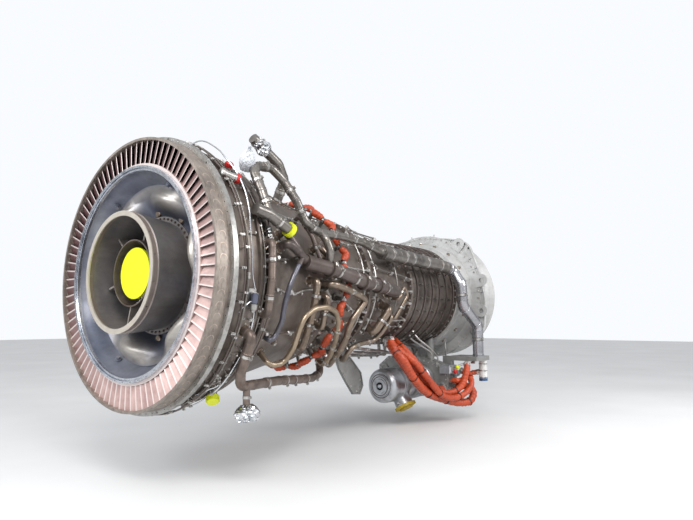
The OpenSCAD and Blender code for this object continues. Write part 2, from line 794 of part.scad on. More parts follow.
// Pumps on the gearbox pads
module pumps() {
    color([0.50, 0.50, 0.49]) {
        along_x(gearbox_x - 20 - fit, 130, -790) mirror([0, 0, 1]) {
            cylinder(h = 30, d = 180);
            cylinder(h = 230, d = 140);
            translate([0, 0, 229]) cylinder(h = 40, d = 90);
        }
        along_x(gearbox_x + 230 + fit, -250, -810) {
            cylinder(h = 24, d = 200);
            cylinder(h = 150, d = 150);
        }
        along_x(gearbox_x + 230 + fit, 100, -800) {
            cylinder(h = 24, d = 180);
            cylinder(h = 190, d = 120);
        }
    }
}

module starter() {
    end = gearbox_x - 20 - fit - starter_face_x;
    color(bright) {
        along_x(starter_face_x, starter_y, starter_z) rotate_extrude()
            polygon([[0, 18], [30, 18], [34, 8], [60, 4], [64, 12], [88, 12], [92, 24], [118, 30],
                     [142, 52], [145, 70], [145, 190], [128, 205], [128, end - 60],
                     [148, end - 40], [148, end], [0, end]]);
        from_starter() cylinder(h = exhaust_reach, d = 150);
    }
}

// Along the exhaust of the starter, from the starter's axis
module from_starter() {
    translate([starter_face_x + 250, starter_y, starter_z]) rotate([exhaust_clock, 0, 0]) children();
}

module starter_cap() {
    color([0.70, 0.62, 0.10]) from_starter() translate([0, 0, exhaust_reach + fit]) {
        cylinder(h = 22, d = 190);
        cylinder(h = 36, d = 120);
    }
}

module oil_filter() {
    color([0.9, 0.9, 0.9]) translate([filter_x, filter_y, filter_head_top - 40 - fit - 200])
        cylinder(h = 200, d = filter_d);
}

// Curved bracket plate that hangs under the rear compressor case
module hanging_plate() {
    color([0.50, 0.52, 0.52]) clear_of_cases()
        translate([0, -95, 0]) rotate([90, 0, 0]) linear_extrude(height = 12)
            polygon([[1600, -380], [1730, -380], [1765, -510], [1860, -590], [1960, -680],
                     [1990, -790], [1945, -860], [1850, -850], [1760, -750], [1670, -640],
                     [1620, -540]]);
}

// Lug plates with a hole, standing on the rear face of the front frame flange
module lug_plates() {
    color(warm_grey)
        for (clock = [-104, -78, -39, 39, 78, 104])
            stand(front_frame_end_x - 119 - 12 - fit, clock, front_flange_r - 40)
                rotate([0, 90, 0]) difference() {
                    union() {
                        translate([-70, -60, 0]) cube([70, 120, 12]);
                        translate([-70, 0, 0]) cylinder(h = 12, d = 120);
                    }
                    translate([-70, 0, -1]) cylinder(h = 14, d = 45);
                }
}

// Round bosses on the wall of the dish, behind the fairings
module dish_bosses() {
    slope = dish_ledge - dish_lip;
    out = unit([slope[1], -slope[0]]);
    place = dish_ledge - slope * 0.3 + out * (fit + 0.5);
    color(dish_blue)
        for (i = [0 : fairing_count - 1])
            rotate([360 / fairing_count * i + 24, 0, 0])
                translate([place[0], 0, place[1]]) rotate([0, atan2(out[0], out[1]), 0]) {
                    cylinder(h = 8, d = 40);
                    cylinder(h = 20, d = 24);
                }
}

// Instrument probes round the rear frame
module frame_probes() {
    color(bright)
        for (clock = [20, 50, 100, 140, 165, 195, 225, 255, 285, 315, 345])
            stand(167, clock, case_at(144) + fit) {
                cylinder(h = 8, d = 46);
                cylinder(h = 26, d = 26);
                translate([0, 0, 25]) cylinder(h = 20, d = 16);
            }
}

// Thin ring tube round the rear frame, on short posts
ring_tube_x = frame_end_x - 31;
module ring_tube() {
    color([0.40, 0.34, 0.30]) clear_of_cases() {
        rotate([0, 90, 0]) rotate_extrude()
            translate([case_at(ring_tube_x) + 16, ring_tube_x]) circle(d = 22, $fn = 48);
        for (i = [0 : 7])
            stand(ring_tube_x, 45 * i + 10, case_at(ring_tube_x) - 6) cylinder(h = 20, d = 14);
    }
}

rear_flange();
nozzle_outer_band();
nozzle_vanes();
nozzle_inner_band();
seal_ring();
frame_hub();
rear_drum();
drum_ribs();
sump_tube();
sump_cap();
turbine_frame_case();
frame_struts();
turbine_case();
combustor_case();
compressor_rear_case();
compressor_front_case();
vane_rings();
vane_levers();
front_frame();
bellmouth();
nose_cone();
inlet_struts();
fuel_nozzles();
fuel_manifold();
bleed_tube();
tee_cap();
top_stub();
side_manifold();
cooling_tubes();
loop_pipe();
drain_manifold();
side_tube();
drain_hose();
compressor_tubes();
oil_lines();
far_tubes();
polished_pipe();
orange_hoses();
gearbox();
pumps();
starter();
starter_cap();
oil_filter();
hanging_plate();
lug_plates();
dish_bosses();
frame_probes();
ring_tube();
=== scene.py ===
from math import cos, pi, radians, sin, tan
import random

import bpy
import bmesh
from mathutils import Matrix, Vector


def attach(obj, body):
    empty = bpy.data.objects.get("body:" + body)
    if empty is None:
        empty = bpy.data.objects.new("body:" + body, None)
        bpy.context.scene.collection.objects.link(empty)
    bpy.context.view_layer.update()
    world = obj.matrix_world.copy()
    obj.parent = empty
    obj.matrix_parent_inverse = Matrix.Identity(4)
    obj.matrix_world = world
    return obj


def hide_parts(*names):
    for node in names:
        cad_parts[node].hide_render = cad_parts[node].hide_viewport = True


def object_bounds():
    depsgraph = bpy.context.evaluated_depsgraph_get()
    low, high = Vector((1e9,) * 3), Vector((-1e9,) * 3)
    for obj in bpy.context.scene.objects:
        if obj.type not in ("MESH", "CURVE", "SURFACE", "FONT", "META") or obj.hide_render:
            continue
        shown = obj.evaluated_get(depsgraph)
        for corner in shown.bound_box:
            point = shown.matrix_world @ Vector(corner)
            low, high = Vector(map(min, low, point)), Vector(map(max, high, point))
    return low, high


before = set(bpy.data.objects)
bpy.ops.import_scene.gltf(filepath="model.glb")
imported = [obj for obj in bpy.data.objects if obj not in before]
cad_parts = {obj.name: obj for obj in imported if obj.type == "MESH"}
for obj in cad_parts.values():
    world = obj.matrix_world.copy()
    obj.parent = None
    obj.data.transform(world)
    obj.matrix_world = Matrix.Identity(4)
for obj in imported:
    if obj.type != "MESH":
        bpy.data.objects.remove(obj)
cad_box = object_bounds()
dice = random.Random(7)

# Forms are in mm and degrees in the part's frame, and Batch.done turns them into metres. A clock
# angle is 0 at the top and 90 on the near side. Materials see the forms in metres.
FORWARD = Vector((1, 0, 0))
BACK = -FORWARD
FAR = Vector((0, 1, 0))
NEAR = -FAR
UP = Vector((0, 0, 1))

# Radius of the cases without their flanges, as (station, radius)
CASE_PROFILE = [
    (30, 754), (108, 750), (126, 742), (208, 738), (226, 722), (321, 698), (353, 682), (455, 652),
    (940, 553), (970, 550), (1020, 510), (1250, 505), (1497, 500), (1533, 490), (1865, 465),
    (2197, 430), (2233, 425), (2997, 440), (3033, 510), (3215, 540),
]


def level(line, at):
    """Value at a place of a broken line through (place, value) points."""
    for (x0, y0), (x1, y1) in zip(line, line[1:]):
        if at <= x1:
            return y0 + (y1 - y0) * max(0.0, (at - x0) / (x1 - x0))
    return line[-1][1]


def spot(x, clock, r):
    """Point at a station, a clock angle and a radius."""
    a = radians(clock)
    return Vector((x, -r * sin(a), r * cos(a)))


def over(x, clock, high=2):
    """Point at a height over the cases."""
    return spot(x, clock, level(CASE_PROFILE, x) + high)


def outward(clock):
    return spot(0, clock, 1)


def around(clock):
    """Direction in which the clock angle grows."""
    return spot(0, clock + 90, 1)


def lift(place):
    """Direction away from the axis at a place, and the height there over the cases."""
    out = Vector((0, place.y, place.z))
    return out.normalized(), out.length - level(CASE_PROFILE, place.x)


def circle(centre, u, v, radius, count, start=0.0):
    """Points round a circle whose plane has the directions u and v."""
    turns = [start + 2 * pi * k / count for k in range(count)]
    return [centre + (u * cos(a) + v * sin(a)) * radius for a in turns]


def bend_line(start, corner, end):
    return [start * (1 - t) ** 2 + corner * 2 * t * (1 - t) + end * t ** 2
            for t in (k / 8 for k in range(9))]


def both_ends(path, reach=2):
    """Each end of a path, with the direction into it."""
    return [(a, (b - a).normalized()) for a, b in ((path[0], path[reach]), (path[-1], path[-1 - reach]))]


# Materials

def linear(colour):
    """Shader colour from 0-255 screen values."""
    levels = [v / 255 for v in colour]
    return tuple(v / 12.92 if v <= 0.04045 else ((v + 0.055) / 1.055) ** 2.4 for v in levels) + (1.0,)


class Nodes:
    """Short calls for the shader nodes of a material or a world."""

    def __init__(self, owner):
        owner.use_nodes = True
        self.owner, self.tree = owner, owner.node_tree
        self.coords = self.add("TexCoord").outputs

    def put(self, value, socket):
        if isinstance(value, bpy.types.NodeSocket):
            self.tree.links.new(value, socket)
        else:
            socket.default_value = value

    def add(self, kind, inputs=(), **settings):
        """New node. inputs are pairs of a socket and its value or source."""
        node = self.tree.nodes.new("ShaderNode" + kind)
        for key, value in settings.items():
            setattr(node, key, value)
        for key, value in inputs:
            self.put(value, node.inputs[key])
        return node

    def split(self, vector=None):
        """The x, y and z of a vector, or else of the place on the object."""
        source = self.coords["Object"] if vector is None else vector
        return self.add("SeparateXYZ", [(0, source)]).outputs[:]

    def noise(self, scale, detail=4.0, rough=0.55, stretch=None, distort=0.0):
        place = self.coords["Object"]
        if stretch:
            place = self.add("Mapping", [("Vector", place), ("Scale", stretch)]).outputs["Vector"]
        return self.add("TexNoise", [("Vector", place), ("Scale", scale), ("Detail", detail),
                                     ("Roughness", rough), ("Distortion", distort)]).outputs["Fac"]

    def ramp(self, fac, stops):
        """Blend through stops of a place and a colour or a level."""
        node = self.add("ValToRGB", [("Fac", fac)])
        points = node.color_ramp.elements
        while len(points) < len(stops):
            points.new(0.5)
        for point, (place, colour) in zip(points, stops):
            point.position = place
            point.color = linear(colour) if isinstance(colour, tuple) else (colour, colour, colour, 1.0)
        return node.outputs["Color"]

    def blotches(self, low, high, *noise):
        return self.ramp(self.noise(*noise), [(0.3, low), (0.7, high)])

    def mix(self, fac, a, b):
        a, b = (linear(v) if isinstance(v, tuple) else v for v in (a, b))
        return self.add("Mix", [(0, fac), (6, a), (7, b)], data_type="RGBA").outputs[2]

    def calc(self, kind, *values):
        return self.add("Math", enumerate(values), operation=kind).outputs[0]

    def weigh(self, *terms):
        """Sum of two values, each times its weight."""
        return self.calc("ADD", *[self.calc("MULTIPLY", *term) for term in terms])

    def step(self, value, low, high):
        """0 below low, 1 above high, and smooth between."""
        return self.add("MapRange", [("Value", value), ("From Min", low), ("From Max", high)],
                        interpolation_type="SMOOTHSTEP").outputs["Result"]

    def span(self, fac, low, high):
        return self.add("MapRange", [("Value", fac), ("To Min", low), ("To Max", high)]).outputs["Result"]

    def finish(self, colour, rough, metallic, height=None, strength=0.5, depth=0.0):
        shader = self.tree.nodes["Principled BSDF"].inputs
        self.put(colour, shader["Base Color"])
        self.put(rough, shader["Roughness"])
        self.put(metallic, shader["Metallic"])
        if height is not None:
            bump = self.add("Bump", [("Strength", strength), ("Distance", depth), ("Height", height)])
            self.put(bump.outputs["Normal"], shader["Normal"])
        return self.owner


def skin(name):
    return Nodes(bpy.data.materials.new(name))


def metal(name, patch, rough, metallic, dirt, *colours, stretch=None, depth=0.0004):
    """Worked metal: blotches between colours, dirt, uneven polish and a fine grain."""
    n = skin(name)
    soot = (38, 30, 26)
    stops = [(0.30 + 0.4 * i / (len(colours) - 1), c) for i, c in enumerate(colours)]
    colour = n.ramp(n.noise(patch, 5.0, 0.6, distort=0.4), stops)
    stain = n.ramp(n.noise(patch * 2.7, 8.0, 0.7), [(0.48, 0.0), (0.72, dirt)])
    fine = n.noise(220.0, 3.0, 0.6, stretch)
    colour = n.mix(n.span(fine, 0.0, 0.25), n.mix(stain, colour, soot), soot)
    return n.finish(colour, n.span(n.noise(patch * 6.0, 6.0, 0.65), *rough), metallic, fine, 0.5, depth)


def paint(name, colour, shade, rough=(0.35, 0.55), dirt=0.3, metallic=0.0, grain=160.0, depth=0.0003):
    """Paint, plastic or casting skin with soft stains and a fine skin texture."""
    n = skin(name)
    tone = n.mix(n.ramp(n.noise(6.0, 5.0, 0.6), [(0.35, 0.0), (0.7, 1.0)]), colour, shade)
    stain = n.ramp(n.noise(18.0, 8.0, 0.7), [(0.52, 0.0), (0.75, dirt)])
    tone = n.mix(stain, tone, (60, 48, 38))
    return n.finish(tone, n.span(n.noise(30.0), *rough), metallic, n.noise(grain, 4.0, 0.6), 0.4, depth)


def vane_alloy():
    """Pinkish coated vanes, with painted light: a painted highlight on the aft edges, painted shade on the
    faces that look down, on the upper far vanes and deeper in the ring.
    """
    n = skin("vane_alloy")
    x, y, z = n.split()
    face = n.blotches((158, 130, 126), (196, 168, 162), 9.0, 5.0, 0.6)
    streak = n.ramp(n.noise(14.0, 6.0, 0.7, (6.0, 1.0, 1.0)), [(0.45, 0.0), (0.75, 0.35)])
    face = n.mix(streak, face, (120, 84, 76))
    # Painted shade: faces whose normals look down or to the far side are darkened
    _, side, up = n.split(n.add("NewGeometry").outputs["Normal"])
    face = n.mix(n.step(n.weigh((up, 0.75), (side, -0.6)), -0.45, 0.25), (88, 58, 60), face)
    # Painted shade: the upper and far vanes are darkened, the lower near ones keep their lit colour
    painted_lit_below = n.step(n.weigh((z, -1.0), (y, -0.7)), -0.85, 0.25)
    face = n.mix(painted_lit_below, n.mix(0.65, face, (92, 62, 64)), face)
    # Painted highlight: a pale line along the aft edges of the vanes
    colour = n.mix(n.step(x, -0.0690, -0.0665), (206, 194, 190), face)
    # Painted shade: darker the deeper forward the vane lies between its neighbours
    painted_gap_shade = n.calc("MULTIPLY", n.step(x, -0.050, -0.010), 0.7)
    return n.finish(n.mix(painted_gap_shade, colour, (34, 20, 22)), n.span(n.noise(40.0), 0.32, 0.5), 0.35)


def drum_metal():
    """Dull drum with a bare rim and a lighter band behind it."""
    n = skin("drum_steel")
    x = n.split()[0]
    body = n.blotches((100, 98, 100), (140, 134, 130), 4.0, 5.0, 0.6, None, 0.4)
    stain = n.ramp(n.noise(9.0, 8.0, 0.7, (0.3, 1.0, 1.0)), [(0.45, 0.0), (0.75, 0.5)])
    band = n.mix(n.noise(20.0, 5.0), (124, 112, 106), (152, 138, 130))
    colour = n.mix(n.step(x, -0.117, -0.115), band, n.mix(stain, body, (82, 70, 64)))
    rim = n.mix(n.noise(30.0), (178, 170, 160), (206, 198, 186))
    colour = n.mix(n.step(x, -0.1425, -0.1405), rim, colour)
    return n.finish(colour, n.span(n.noise(25.0, 5.0), 0.30, 0.5), 0.55, n.noise(220.0, 3.0), 0.4, 0.0003)


def dish_metal():
    """Heat-tinted dish: lighter on the mounds, with a bluish heat tint and painted shade down in the hollows.
    """
    n = skin("dish_steel")
    x, y, z = n.split()
    high = n.blotches((150, 146, 142), (186, 178, 168), 3.0, 5.0, 0.6, None, 0.5)
    low = n.blotches((66, 72, 92), (112, 114, 124), 2.4, 5.0, 0.6, None, 0.8)
    # Painted shade with a bluish heat tint: the surface goes darker and bluer the deeper forward it lies in
    # the hollows
    depth = n.weigh((x, 1.0), (n.noise(5.0), 0.02))
    colour = n.mix(n.step(depth, 0.012, 0.105), high, low)
    wall = n.blotches((92, 98, 116), (140, 142, 150), 3.5, 5.0, 0.6)
    radius = n.calc("SQRT", n.weigh((y, y), (z, z)))
    colour = n.mix(n.step(radius, 0.500, 0.526), colour, wall)
    stain = n.ramp(n.noise(7.0, 8.0, 0.7, (1.0, 0.6, 1.6)), [(0.46, 0.0), (0.74, 0.45)])
    colour = n.mix(stain, colour, (58, 52, 54))
    return n.finish(colour, n.span(n.noise(12.0, 6.0), 0.30, 0.5), 0.6, n.noise(160.0), 0.35, 0.0004)


def scuffed_band():
    """Outer band of the nozzle ring: brown-grey with a crescent rub mark beside each vane."""
    n = skin("band_steel")
    x, y, z = n.split()
    tone = n.blotches((120, 112, 106), (164, 153, 144), 7.0, 6.0, 0.65)
    turn = n.calc("MULTIPLY", n.calc("ARCTAN2", y, z), 84 / (2 * pi))
    pitch = n.calc("SUBTRACT", n.calc("FRACT", n.calc("ADD", turn, 100.0)), 0.5)
    u = n.calc("MULTIPLY", pitch, 0.054)
    v = n.calc("ADD", x, 0.044)
    wobble = n.calc("MULTIPLY", n.calc("SUBTRACT", n.noise(60.0), 0.5), 0.010)
    far = n.calc("ADD", n.calc("SQRT", n.weigh((u, u), (v, v))), wobble)
    line = n.calc("ABSOLUTE", n.calc("SUBTRACT", far, 0.021))
    mark = n.calc("MULTIPLY", n.step(line, 0.0028, 0.0006), n.step(u, -0.004, 0.004))
    mark = n.calc("MULTIPLY", mark, n.ramp(n.noise(18.0), [(0.35, 0.2), (0.6, 0.85)]))
    rub = n.ramp(n.noise(26.0, 8.0, 0.7, (3.0, 1.0, 1.0)), [(0.5, 0.0), (0.72, 0.6)])
    colour = n.mix(rub, n.mix(mark, tone, (196, 178, 160)), (74, 58, 50))
    return n.finish(colour, n.span(n.noise(30.0), 0.34, 0.58), 0.7,
                    n.calc("ADD", mark, n.noise(90.0)), 0.5, 0.0008)


# finish: its slot and its material
FINISHES = {
    "bright": ("bright_steel", metal("bright_steel", 6.0, (0.22, 0.42), 0.9, 0.25, (150, 148, 145),
                                     (205, 203, 200), (170, 166, 160), stretch=(1.0, 6.0, 6.0))),
    "case": ("case_steel", metal("case_steel", 3.0, (0.28, 0.5), 0.6, 0.5,
                                 (86, 78, 73), (124, 114, 107), (104, 90, 82))),
    "tan": ("tan_steel", metal("tan_steel", 4.0, (0.22, 0.38), 0.82, 0.3,
                               (106, 94, 84), (146, 131, 117), (122, 106, 92))),
    "gold": ("tan_steel", metal("gold_steel", 3.2, (0.24, 0.38), 0.75, 0.2,
                                (124, 108, 92), (164, 147, 126), (140, 124, 104), depth=0.00008)),
    "brown": ("tan_steel", metal("brown_steel", 6.0, (0.30, 0.5), 0.6, 0.4,
                                 (92, 80, 74), (126, 112, 104), (108, 90, 80))),
    "slate": ("dark_steel", metal("slate_steel", 5.0, (0.25, 0.42), 0.6, 0.35,
                                  (70, 70, 80), (102, 102, 112), (90, 84, 84))),
    "alu": ("bright_steel", metal("bare_alloy", 7.0, (0.26, 0.42), 0.8, 0.2,
                                  (150, 153, 158), (196, 199, 204), (172, 174, 176))),
    "grey_tube": ("tan_steel", metal("grey_tube", 5.0, (0.22, 0.38), 0.8, 0.35,
                                     (96, 92, 89), (140, 135, 130), (114, 106, 97))),
    "dark": ("dark_steel", metal("dark_steel", 5.0, (0.28, 0.5), 0.6, 0.4,
                                 (74, 66, 65), (108, 98, 94), (92, 78, 72))),
    "ring": ("bright_steel", metal("ring_steel", 12.0, (0.16, 0.34), 0.95, 0.3,
                                   (172, 176, 186), (226, 230, 238), (190, 192, 198))),
    "flange": ("bright_steel", metal("flange_steel", 9.0, (0.26, 0.45), 0.85, 0.35,
                                     (140, 138, 134), (188, 187, 184), (158, 153, 147))),
    "polished": ("silver_pipe", metal("silver_pipe", 5.0, (0.18, 0.32), 0.9, 0.15,
                                      (150, 150, 155), (192, 192, 196))),
    "foil": ("silver_pipe", metal("foil", 30.0, (0.15, 0.3), 1.0, 0.1, (205, 208, 212), (232, 234, 238))),
    "vane": ("vane_alloy", vane_alloy()),
    "drum": ("tan_steel", drum_metal()),
    "dish": ("frame_steel", dish_metal()),
    "band": ("tan_steel", scuffed_band()),
    "blue": ("blue_hose", paint("blue_base", (24, 74, 120), (18, 58, 100), (0.3, 0.5))),
    "plastic": ("filter_white", paint("wrap_white", (205, 208, 213), (172, 176, 184), (0.25, 0.4), 0.1)),
    "warm": ("warm_case", paint("warm_case", (184, 184, 183), (160, 160, 158), metallic=0.2)),
    "cast": ("cast_grey", paint("cast_grey", (150, 150, 148), (126, 126, 124), (0.35, 0.6),
                                metallic=0.5, grain=300.0, depth=0.0006)),
    "yellow": ("yellow_cap", paint("yellow_cap", (218, 226, 22), (204, 212, 16), (0.35, 0.5), 0.1)),
    "red": ("yellow_cap", paint("red_cap", (190, 34, 28), (160, 24, 22), (0.3, 0.5), 0.15)),
    "orange": ("orange_sleeve", paint("orange_sleeve", (184, 70, 30), (150, 52, 24), (0.35, 0.5), 0.35,
                                      grain=400.0, depth=0.0008)),
    "white": ("filter_white", paint("filter_white", (214, 214, 212), (196, 196, 194), (0.3, 0.45))),
    "mustard": ("mustard_cap", paint("mustard_cap", (168, 146, 30), (148, 124, 22), (0.4, 0.6))),
    "hose": ("blue_hose", paint("blue_hose", (92, 96, 112), (76, 78, 94), (0.35, 0.5),
                                metallic=0.5, grain=500.0, depth=0.0008)),
    "black": ("dark_steel", paint("black_rubber", (34, 33, 34), (24, 24, 25), (0.45, 0.65))),
}

# finish: the nodes that have it
NODE_FINISHES = {
    "flange": "rear_flange", "band": "nozzle_outer_band", "vane": "nozzle_vanes nozzle_inner_band",
    "ring": "seal_ring", "dish": "frame_hub drum_ribs dish_bosses", "drum": "rear_drum",
    "case": "sump_tube turbine_frame_case turbine_case combustor_case compressor_rear_case "
            "compressor_front_case drain_manifold side_tube",
    "yellow": "sump_cap tee_cap", "dark": "frame_struts vane_rings top_stub side_manifold ring_tube",
    "grey_tube": "vane_levers fuel_nozzles bleed_tube compressor_tubes far_tubes",
    "warm": "front_frame bellmouth nose_cone inlet_struts lug_plates", "hose": "drain_hose",
    "orange": "fuel_manifold orange_hoses", "tan": "cooling_tubes loop_pipe",
    "bright": "oil_lines frame_probes", "polished": "polished_pipe", "cast": "gearbox hanging_plate",
    "alu": "pumps starter", "mustard": "starter_cap", "white": "oil_filter",
}


def dress_nodes():
    for finish, names in NODE_FINISHES.items():
        for name in names.split():
            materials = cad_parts[name].data.materials
            materials.clear()
            materials.append(FINISHES[finish][1])


# Mesh helpers

BATCHES = []


class Batch:
    """Collects many small forms of one finish into one mesh."""

    def __init__(self, name, finish, smooth=35, replaced=None):
        self.name, self.finish, self.smooth, self.replaced = name, finish, smooth, replaced
        self.mesh = bmesh.new()
        BATCHES.append(self)

    def grid(self, rows, loop=False):
        """Surface through rings of points, joined end to end as a loop or else capped."""
        made = [[self.mesh.verts.new(p) for p in row] for row in rows]
        for a, b in zip(made, made[1:] + (made[:1] if loop else [])):
            for k in range(len(a)):
                j = (k + 1) % len(a)
                self.mesh.faces.new((a[k], a[j], b[j], b[k]))
        if not loop:
            self.mesh.faces.new(made[0][::-1])
            self.mesh.faces.new(made[-1])

    def lathe(self, centre, axis, profile, sides=24, turn=0.0):
        """Revolves (height, radius) points about an axis through centre."""
        axis = axis.normalized()
        side = axis.orthogonal().normalized()
        other = axis.cross(side)
        self.grid([circle(centre + axis * height, side, other, radius, sides, turn)
                   for height, radius in profile])

    def hoop(self, centre, axis, radius, thick, width, sides=24):
        """Flat band round a pipe."""
        self.lathe(centre, axis, [(0, radius), (0, radius + thick), (width, radius + thick),
                                  (width, radius)], sides)

    def bolt(self, place, axis, size, washer=True):
        """Hexagon head with a chamfer, on a washer, standing on place along axis."""
        turn = dice.uniform(0.0, pi / 3)
        low = 0.0
        if washer:
            low = size * 0.14
            self.lathe(place, axis, [(0, size * 0.72), (low, size * 0.72)], 12)
        self.lathe(place, axis, [(low, size * 0.5), (low + size * 0.42, size * 0.5),
                                 (low + size * 0.52, size * 0.40)], 6, turn)

    def tube(self, points, radius, sides=10):
        """Bar along points. Its radius is a number, or a function of the way along and the angle."""
        rings, normal = [], None
        last = len(points) - 1
        for i, p in enumerate(points):
            along = (points[min(i + 1, last)] - points[max(i - 1, 0)]).normalized()
            if normal is None:
                normal = along.orthogonal().normalized()
            normal = (normal - along * normal.dot(along)).normalized()
            other = along.cross(normal)
            ring = []
            for k in range(sides):
                a = 2 * pi * k / sides
                size = radius(i / last, a) if callable(radius) else radius
                ring.append(p + (normal * cos(a) + other * sin(a)) * size)
            rings.append(ring)
        self.grid(rings)

    def block(self, centre, along, up, size):
        """Small block with a chamfered top: size is its length along, across and up."""
        along = along.normalized()
        up = (up - along * up.dot(along)).normalized()
        across = up.cross(along)
        half = Vector(size) / 2
        cut = min(half) * 0.3
        self.grid([[centre + along * sx * (half.x - inset) + across * sy * (half.y - inset) + up * z
                    for sx, sy in ((-1, -1), (1, -1), (1, 1), (-1, 1))]
                   for z, inset in ((-half.z, 0.0), (half.z - cut, 0.0), (half.z, cut))])

    def clamp(self, centre, axis, radius, width, up):
        """Band clamp round a pipe, with two ears and a bolt."""
        axis = axis.normalized()
        up = (up - axis * up.dot(axis)).normalized()
        self.hoop(centre - axis * width / 2, axis, radius, 1.8, width)
        ear = centre + up * (radius + 8)
        across = axis.cross(up)
        for s in (-1, 1):
            self.block(ear + across * 4 * s, axis, up, (width, 3, 16))
        self.bolt(ear + across * 5.5, across, 9, washer=False)

    def done(self):
        data = bpy.data.meshes.new(self.name)
        bmesh.ops.recalc_face_normals(self.mesh, faces=self.mesh.faces)
        self.mesh.to_mesh(data)
        self.mesh.free()
        data.transform(Matrix.Scale(0.001, 4))
        piece = bpy.data.objects.new(self.name, data)
        bpy.context.scene.collection.objects.link(piece)
        slot, material = FINISHES[self.finish]
        data.materials.append(material)
        data.polygons.foreach_set("use_smooth", [True] * len(data.polygons))
        data.set_sharp_from_angle(angle=radians(self.smooth))
        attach(piece, "root")
        if self.replaced:
            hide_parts(self.replaced)


def curve_points(corners, step):
    """Smooth path through corners (Catmull-Rom)."""
    corners = [Vector(c) for c in corners]
    ends = [corners[0] * 2 - corners[1]] + corners + [corners[-1] * 2 - corners[-2]]
    path = []
    for a, b, c, d in zip(ends, ends[1:], ends[2:], ends[3:]):
        count = max(2, int((c - b).length / step))
        for t in (k / count for k in range(count)):
            path.append(0.5 * (2 * b + (c - a) * t + (2 * a - 5 * b + 4 * c - d) * t * t
                               + (3 * b - a - 3 * c + d) * t ** 3))
    return path + [corners[-1]]


# Rear ring, dish and frame

def flange_bolts():
    bolts = Batch("flange_bolts", "bright")
    for x, way, radius, count, size in (
            (321, -1, 709, 60, 14), (351, 1, 708, 60, 14), (978, -1, 560, 54, 12), (1018, 1, 555, 54, 12),
            (1499, -1, 520, 54, 12), (1531, 1, 518, 54, 12), (2199, -1, 454, 48, 12),
            (2231, 1, 454, 48, 12), (2999, -1, 468, 48, 12), (3217, -1, 605, 60, 14),
            (3313, -1, 600, 60, 14)):
        for i in range(count):
            bolts.bolt(spot(x, 360.0 * (i + 0.5) / count, radius), FORWARD * way, size)


def nozzle_ring_details():
    # Painted shade: thin black blocks stand in for the shaded slots round the seal ring
    slots = Batch("seal_slots", "black")
    for i in range(48):
        slots.block(spot(-89, 7.5 * i, 597.5), around(7.5 * i), BACK, (16, 2.2, 3))
    # Painted shade: black discs stand in for the shaded bolt holes of the flange
    sockets = Batch("flange_sockets", "black")
    rims = Batch("flange_rims", "bright")
    for i in range(84):
        clock = 360.0 * i / 84 + 1.2
        if min((clock - 15) % 30, (15 - clock) % 30) < 2.0:
            continue
        centre = spot(0, clock, 774.5)
        sockets.lathe(centre, BACK, [(-1, 3.6), (0.6, 3.6)], 10)
        rims.lathe(centre, BACK, [(-1, 5.8), (0.5, 5.8), (1, 4.8), (0.5, 3.7)], 14)
    studs = Batch("flange_studs", "bright")
    for i in range(72):
        studs.bolt(spot(30, 5.0 * i + 2.5, 769), FORWARD, 13)


def dish_surface():
    """The dish with its fairings drawn as soft saddles between the drum and the ledge."""
    dish = Batch("dish", "dish", 60, "frame_hub")
    clocks = [1.25 * k for k in range(288)]
    floor = [(346, 118), (370, 116), (392, 106), (470, 71), (558, 1)]
    profile = [(335, 0.5), (335, 600), (0, 615), (0, 604.6), (-64, 604.6), (-64, 578), (-58, 575.5),
               (-52, 574), (-30, 560.5), (-8, 547.5), (14, 534), (34, 522), (36, 520.5)]
    rows = [[spot(x, clock, r) for clock in clocks] for x, r in profile]
    outer, wide, rings = 519, 173, 40
    for i in range(rings):
        r = outer - wide * i / (rings - 1)
        rise = max(0.0, sin(pi * (outer - r) / wide)) ** 1.25
        row = []
        for clock in clocks:
            turn = radians(6 * (clock - 15))
            mound = 90 * (0.5 + 0.5 * cos(turn)) ** 0.7 + 12 * sin(turn)
            row.append(spot(level(floor, r) - rise * mound, clock, r))
        rows.append(row)
    dish.grid(rows + [[spot(118, clock, 0.5) for clock in clocks]])


def dish_details():
    bolts = Batch("drum_foot_bolts", "dark")
    for i in range(54):
        bolts.bolt(spot(104, 360.0 / 54 * i, 331), BACK, 12)
    pads = Batch("dish_pads", "tan")
    studs = Batch("dish_pad_bolts", "dark")
    for clock in (60.0 * i + 45 + side for i in range(6) for side in (-11, 11)):
        pads.lathe(spot(106, clock, 368), BACK, [(-4, 22), (4, 22), (7, 18)], 20)
        for place in circle(spot(102, clock, 368), around(clock), outward(clock), 13, 5):
            studs.bolt(place, BACK, 5, washer=False)
    small = Batch("tube_lip_bolts", "bright")
    for clock in range(118, 159, 8):
        small.bolt(spot(-61, clock, 183.5), -outward(clock), 8)


def frame_plates():
    """Curved cover plates between the bands of the rear frame, each on a row of bolts."""
    plates = Batch("frame_plates", "case")
    bolts = Batch("frame_plate_bolts", "bright")
    # Station, radius and how far the edge is drawn in
    section = [(134, 739.5, 0), (134, 747.5, 0), (138, 750, 0.35), (196, 749, 0.35), (200, 746.5, 0),
               (200, 738.5, 0)]
    for i in range(18):
        if i % 9 == 4:
            continue
        middle = 20.0 * i + 10
        half = 6.5 if i % 2 else 4.5
        plates.grid([[spot(x, middle + (half - inset) * (k / 6 - 1), r) for x, r, inset in section]
                     for k in range(13)])
        for x in (143, 191):
            for k in (-1, 0, 1):
                clock = middle + k * (half - 1.0)
                bolts.bolt(spot(x, clock, 749.5), outward(clock), 9)
    ribs = Batch("frame_ribs", "case")
    for clock in range(3, 360, 10):
        ribs.block(spot(272, clock, 713.5), FORWARD, outward(clock), (75, 6, 20))


# Small tubes and leads

